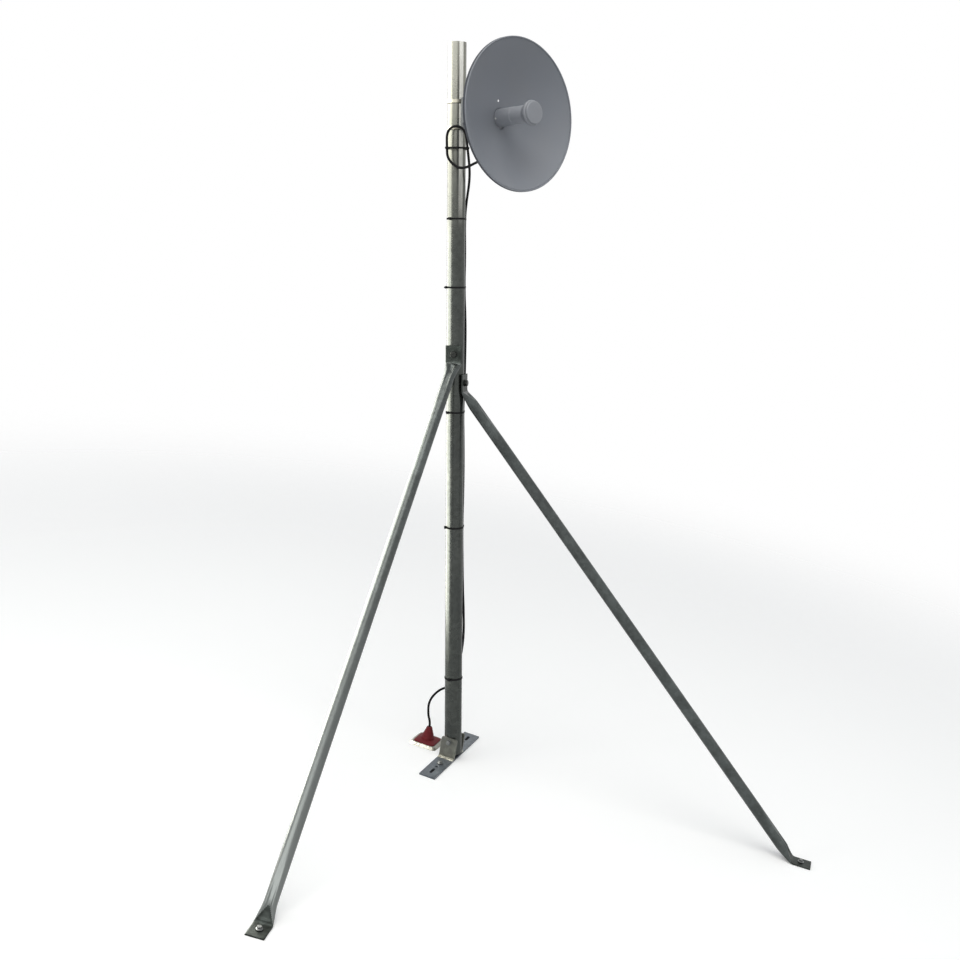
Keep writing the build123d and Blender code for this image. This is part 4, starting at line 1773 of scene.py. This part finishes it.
@dataclass
class CableBoot:
    """The stepped rubber boot in its pressed metal edge, on the slope."""

    x: float = -91.6 * MM
    y: float = 33.0 * MM
    height: float = 52.0 * MM
    brim: float = 34.0 * MM
    brim_seat: float = 8.6 * MM
    brim_top: float = 14.0 * MM
    cone: float = 20.0 * MM
    tip: float = 7.0 * MM
    steps: int = 4
    edge_foot: float = 45.2 * MM
    edge_top: float = 37.6 * MM
    edge_height: float = 8.4 * MM

    def place(self) -> Matrix:
        """Frame on the slope under the boot."""
        return frame_at(slope_point(self.x, self.y), SLOPE_NORMAL, SLOPE_DOWN)

    def squared(self, radius: float, angle: float, share: float) -> float:
        """Reach of a rounded square.

        Args:
            radius: Half of its side.
            angle: Angle round its middle.
            share: Zero for a circle and one for a nearly square outline.

        Returns:
            Its reach at the angle.
        """
        power = 2.0 + 6.0 * share
        total = abs(math.cos(angle)) ** power + abs(math.sin(angle)) ** power
        return radius * total ** (-1.0 / power)

    def rubber(self) -> bpy.types.Mesh:
        """The cone with rounded steps on a squarish brim.

        Returns:
            The boot's mesh.
        """
        place = self.place()
        lip = 1.2 * MM
        rows: list[tuple[float, float, float]] = [
            (self.brim - 3 * lip, self.brim_seat - 2 * lip, 0.8),
            (self.brim - lip, self.brim_seat - lip, 0.8),
            (self.brim, self.brim_seat, 0.8),
            (self.brim - 0.4 * lip, self.brim_seat + lip, 0.75),
            (self.brim - 2 * lip, self.brim_seat + 1.8 * lip, 0.6),
            (self.cone + 4.4 * MM, self.brim_top - lip, 0.2),
            (self.cone + 1.6 * MM, self.brim_top, 0.0),
        ]
        rise = (self.height - self.brim_top) / self.steps
        for step in range(self.steps):
            wide = self.cone + (self.tip - self.cone) * step / self.steps
            slim = self.cone + (self.tip - self.cone) * (step + 0.8) / self.steps
            low = self.brim_top + rise * step
            for share in (0.0, 0.2, 0.45, 0.7, 0.9, 1.0):
                radius = wide + (slim - wide) * share**2.2
                rows.append((radius, low + rise * (0.04 + 0.93 * share), 0.0))
        rows += [
            (self.tip, self.height - 0.4 * MM, 0.0),
            (self.tip - 1.0 * MM, self.height, 0.0),
            (3.6 * MM, self.height - 0.2 * MM, 0.0),
            (3.6 * MM, self.height - 6 * MM, 0.0),
        ]
        rings = []
        for radius, height, share in rows:

            def outline(angle: float) -> tuple[float, float, float]:
                """Point of the row's outline at an angle."""
                reach = self.squared(radius, angle, share)
                return reach * math.cos(angle), reach * math.sin(angle), height

            rings.append(round_ring(place, 96, outline))
        return skin(rings, True, False)

    def edge(self) -> bpy.types.Mesh:
        """The soft metal edge, pressed down by hand into uneven folds.

        Returns:
            The edge's mesh.
        """
        place = self.place()
        rows = [
            (self.brim - 5 * MM, 4.6 * MM, 0.2),
            (self.brim - 3 * MM, 3.4 * MM, 0.2),
            (self.edge_foot - 3 * MM, 0.5 * MM, 0.2),
            (self.edge_foot - 0.6 * MM, 0.2 * MM, 0.4),
            (self.edge_foot, 0.7 * MM, 0.6),
            (self.edge_foot - 1.4 * MM, 2.4 * MM, 1.0),
            (self.edge_foot - 3.2 * MM, 4.4 * MM, 1.0),
            (self.edge_foot - 5.0 * MM, 6.4 * MM, 1.0),
            (self.edge_top + 0.6 * MM, self.edge_height - 0.6 * MM, 0.8),
            (self.edge_top - 0.6 * MM, self.edge_height, 0.6),
            (self.edge_top - 2.0 * MM, self.edge_height - 0.3 * MM, 0.5),
            (self.brim - 0.5 * MM, self.edge_height - 1.2 * MM, 0.3),
            (self.brim - 5 * MM, self.edge_height - 2.4 * MM, 0.0),
        ]
        rings = []
        for radius, height, free in rows:
            ring = []
            for step in range(240):
                angle = math.tau * step / 240
                reach = self.squared(radius, angle, 1.0)
                outward = level_dir(angle)
                folds = noise.noise(outward * self.edge_top * 150.0)
                dents = noise.noise(outward * reach * 330.0 + Vector((0, 0, height * 200.0)))
                push = (1.6 * folds * abs(folds) + 0.7 * dents - 0.5) * MM * free
                local = outward * min(reach + push, self.squared(self.edge_foot, angle, 1.0))
                local.z = max(0.15 * MM, min(self.edge_height, height + 0.8 * dents * MM * free))
                ring.append(place @ local)
            rings.append(ring)
        rings.append(rings[0])
        return skin(rings, False, False)

    def build(self, finish: dict[str, bpy.types.Material]) -> list[bpy.types.Object]:
        """Build the boot and its edge.

        Args:
            finish: Materials by the name of their use.

        Returns:
            Both pieces.
        """
        boot = add_piece(
            "stepped_rubber_boot",
            self.rubber(),
            finish["boot"],
            ("boot_cone",),
            crease=55.0,
        )
        edge = add_piece(
            "pressed_metal_edge",
            self.edge(),
            finish["flange"],
            ("boot_flange",),
            crease=60.0,
        )
        return [boot, edge]


@dataclass(frozen=True)
class Lamp:
    """A rectangular lamp."""

    name: str
    at: tuple[float, float, float]
    aim: tuple[float, float, float]
    size: tuple[float, float]
    watts: float
    tint: str
    shows: Shows

    def build(self, shiny: bpy.types.Collection) -> None:
        """Hang the lamp.

        Args:
            shiny: Pieces that a gloss card is kept to.
        """
        light = bpy.data.lights.new(self.name, "AREA")
        light.shape = "RECTANGLE"
        light.size, light.size_y = self.size
        light.energy = self.watts
        light.color = linear(self.tint)[:3]
        lamp = bpy.data.objects.new(self.name, light)
        heading = Vector(self.aim) - Vector(self.at)
        lamp.rotation_euler = heading.to_track_quat("-Z", "Y").to_euler()
        lamp.location = self.at
        lamp.visible_camera = False
        lamp.visible_diffuse = self.shows is not Shows.GLOSS
        lamp.visible_glossy = self.shows is not Shows.SOFT
        if self.shows is Shows.GLOSS:
            lamp.light_linking.receiver_collection = shiny
        bpy.context.scene.collection.objects.link(lamp)


WARM = "#fdfaf0"
COOL = "#fbfbfa"
# Cards close to the mast give the zinc the hard glint that an open sky gives the real one
LAMPS = (
    Lamp("card_low", (-0.84, -0.15, 0.72), (0, 0, 0.72), (1.38, 1.75), 84.0, WARM, Shows.GLOSS),
    Lamp("card_high", (-0.84, -0.15, 2.1), (0, 0, 2.1), (1.38, 1.0), 26.0, WARM, Shows.GLOSS),
    Lamp("card_front", (-0.4, -4.2, 3.4), (0, -0.85, 0.2), (5.5, 1.8), 95.0, COOL, Shows.GLOSS),
    Lamp("fill_left", (-2.2, -2.9, 1.4), (0.1, 0, 1.2), (1.2, 2.4), 28.0, "#fbfaf8", Shows.SOFT),
    Lamp("fill_right", (3.4, -0.6, 2.3), (0.1, 0, 1.6), (1.6, 1.6), 10.0, COOL, Shows.SOFT),
    Lamp("fill_front", (1.5, -3.3, 1.9), (0.1, 0, 1.6), (1.6, 1.6), 12.0, COOL, Shows.SOFT),
    Lamp("sheet_above", (0.6, -1.4, 4.8), (0.4, 0, 0.4), (3.0, 3.0), 86.0, "#fffdf8", Shows.BOTH),
)


@dataclass
class Studio:
    """Camera, soft lamps, pale world and a pale slope under the feet."""

    focal_px: float = 1225.0
    frame_px: float = 960.0
    sensor_mm: float = 36.0
    eye: tuple[float, float, float] = (1.3739, -3.1975, 1.4779)
    yaw: float = math.radians(21.907)
    pitch: float = math.radians(-10.331)
    roll: float = math.radians(0.563)
    floor_half: float = 6.0
    floor_clear: float = 1.5
    floor_faded: float = 4.5
    floor_sink: float = 0.2 * MM
    floor_lift: float = 0.15
    sky_from: float = -0.25
    sky_to: float = 0.9
    sky_low: float = 0.2
    sky_high: float = 0.74
    shiny_words: tuple[str, ...] = (
        "mast_tube", "front_stay", "foot_strip", "ear", "weld", "band", "metal_edge"
    )

    def camera(self) -> None:
        """Set the camera where the photograph was taken."""
        lens = bpy.data.cameras.new("camera")
        lens.sensor_width = self.sensor_mm
        lens.lens = self.focal_px * self.sensor_mm / self.frame_px
        lens.clip_end = 100.0
        eye = bpy.data.objects.new("camera", lens)
        turn = Matrix.Rotation(self.yaw, 4, "Z")
        nod = Matrix.Rotation(math.pi / 2 + self.pitch, 4, "X")
        lean = Matrix.Rotation(self.roll, 4, "Z")
        eye.matrix_world = Matrix.Translation(self.eye) @ turn @ nod @ lean
        bpy.context.scene.collection.objects.link(eye)
        bpy.context.scene.camera = eye

    def shiny(self) -> bpy.types.Collection:
        """Gather the zinc pieces that the gloss cards are set for.

        Returns:
            A collection of them.
        """
        group = bpy.data.collections.new("shiny_zinc")
        for piece in bpy.context.scene.objects:
            if any(word in piece.name for word in self.shiny_words):
                group.objects.link(piece)
        return group

    def world(self) -> None:
        """Pale surroundings: white to the eye and in gloss, brighter from above as light."""
        world = bpy.data.worlds.new("pale_surroundings")
        world.use_nodes = True
        tree = world.node_tree
        tree.nodes.clear()
        rays = add_node(tree, "LightPath")
        mirrored = add_node(
            tree,
            "Math",
            settings={"operation": "MAXIMUM"},
            links={0: rays.outputs["Is Glossy Ray"], 1: rays.outputs["Is Transmission Ray"]},
        )
        seen = add_node(
            tree,
            "Math",
            settings={"operation": "MAXIMUM"},
            links={0: rays.outputs["Is Camera Ray"], 1: mirrored},
        )
        way = add_node(tree, "TexCoord").outputs["Generated"]
        height = add_node(tree, "SeparateXYZ", links={"Vector": way})
        level = add_node(
            tree,
            "MapRange",
            inputs={
                "From Min": self.sky_from,
                "From Max": self.sky_to,
                "To Min": self.sky_low,
                "To Max": self.sky_high,
            },
            links={"Value": height.outputs["Z"]},
        )
        ambient = add_node(
            tree, "Background", inputs={"Color": linear("#eef1f6")}, links={"Strength": level}
        )
        white = add_node(tree, "Background", inputs={"Color": linear("#ffffff"), "Strength": 1.0})
        mixed = add_node(tree, "MixShader", links={0: seen, 1: ambient, 2: white})
        add_node(tree, "OutputWorld", links={"Surface": mixed})
        bpy.context.scene.world = world

    def floor(self) -> None:
        """A pale matt slope that the three feet stand on."""
        half = self.floor_half
        mesh = bpy.data.meshes.new("pale_slope")
        corners = [
            SLOPE_DOWN * a * half + Vector((0, b * half, 0)) - SLOPE_NORMAL * self.floor_sink
            for a, b in CORNERS
        ]
        mesh.from_pydata(corners, [], [(0, 1, 2, 3)])
        material = bpy.data.materials.new("pale_matt_board")
        material.use_nodes = True
        tree = material.node_tree
        tree.nodes.clear()
        board = add_node(
            tree,
            "BsdfPrincipled",
            inputs={
                "Base Color": linear("#f8f8f6"),
                "Roughness": 0.9,
                "Specular IOR Level": 0.0,
                "Emission Color": linear("#ffffff"),
            },
        )
        rays = add_node(tree, "LightPath")
        lifted = add_node(
            tree,
            "Math",
            settings={"operation": "MULTIPLY"},
            inputs={1: self.floor_lift},
            links={0: rays.outputs["Is Camera Ray"]},
        )
        tree.links.new(lifted.outputs["Value"], board.inputs["Emission Strength"])
        place = add_node(tree, "TexCoord").outputs["Object"]
        distance = add_node(tree, "VectorMath", settings={"operation": "LENGTH"}, links={0: place})
        faded = add_node(
            tree,
            "MapRange",
            settings={"interpolation_type": "SMOOTHERSTEP"},
            inputs={"From Min": self.floor_clear, "From Max": self.floor_faded},
            links={"Value": distance.outputs["Value"]},
        )
        clear = add_node(tree, "BsdfTransparent")
        mixed = add_node(tree, "MixShader", links={0: faded, 1: board, 2: clear})
        add_node(tree, "OutputMaterial", links={"Surface": mixed})
        mesh.materials.append(material)
        floor = bpy.data.objects.new("pale_slope", mesh)
        bpy.context.scene.collection.objects.link(floor)

    def build(self) -> None:
        """Set up the whole studio."""
        self.camera()
        self.world()
        self.floor()
        shiny = self.shiny()
        for lamp in LAMPS:
            lamp.build(shiny)
        bpy.context.scene.view_settings.view_transform = "Standard"


def main() -> None:
    """Build the part in order and dress it."""
    logging.basicConfig(level=logging.INFO, format="%(name)s: %(message)s")
    finish = {use: kind.material() for use, kind in FINISHES.items()}
    MastAndFoot().build(finish)
    for name, azimuth, plate_azimuth, bolt_z, reach in (
        ("front_stay", -90.9, -77.0, 1.207, 1.038), ("side_stay", 4.0, 4.0, 1.125, 1.000)
    ):
        turns = math.radians(azimuth), math.radians(plate_azimuth)
        CrushedStay(name, *turns, bolt_z, reach).build(finish)
    DishUnit().build(finish)
    fittings = CableBoot().build(finish)
    TiedCable().build(finish, fittings)
    Studio().build()


if __name__ == "__main__":
    main()
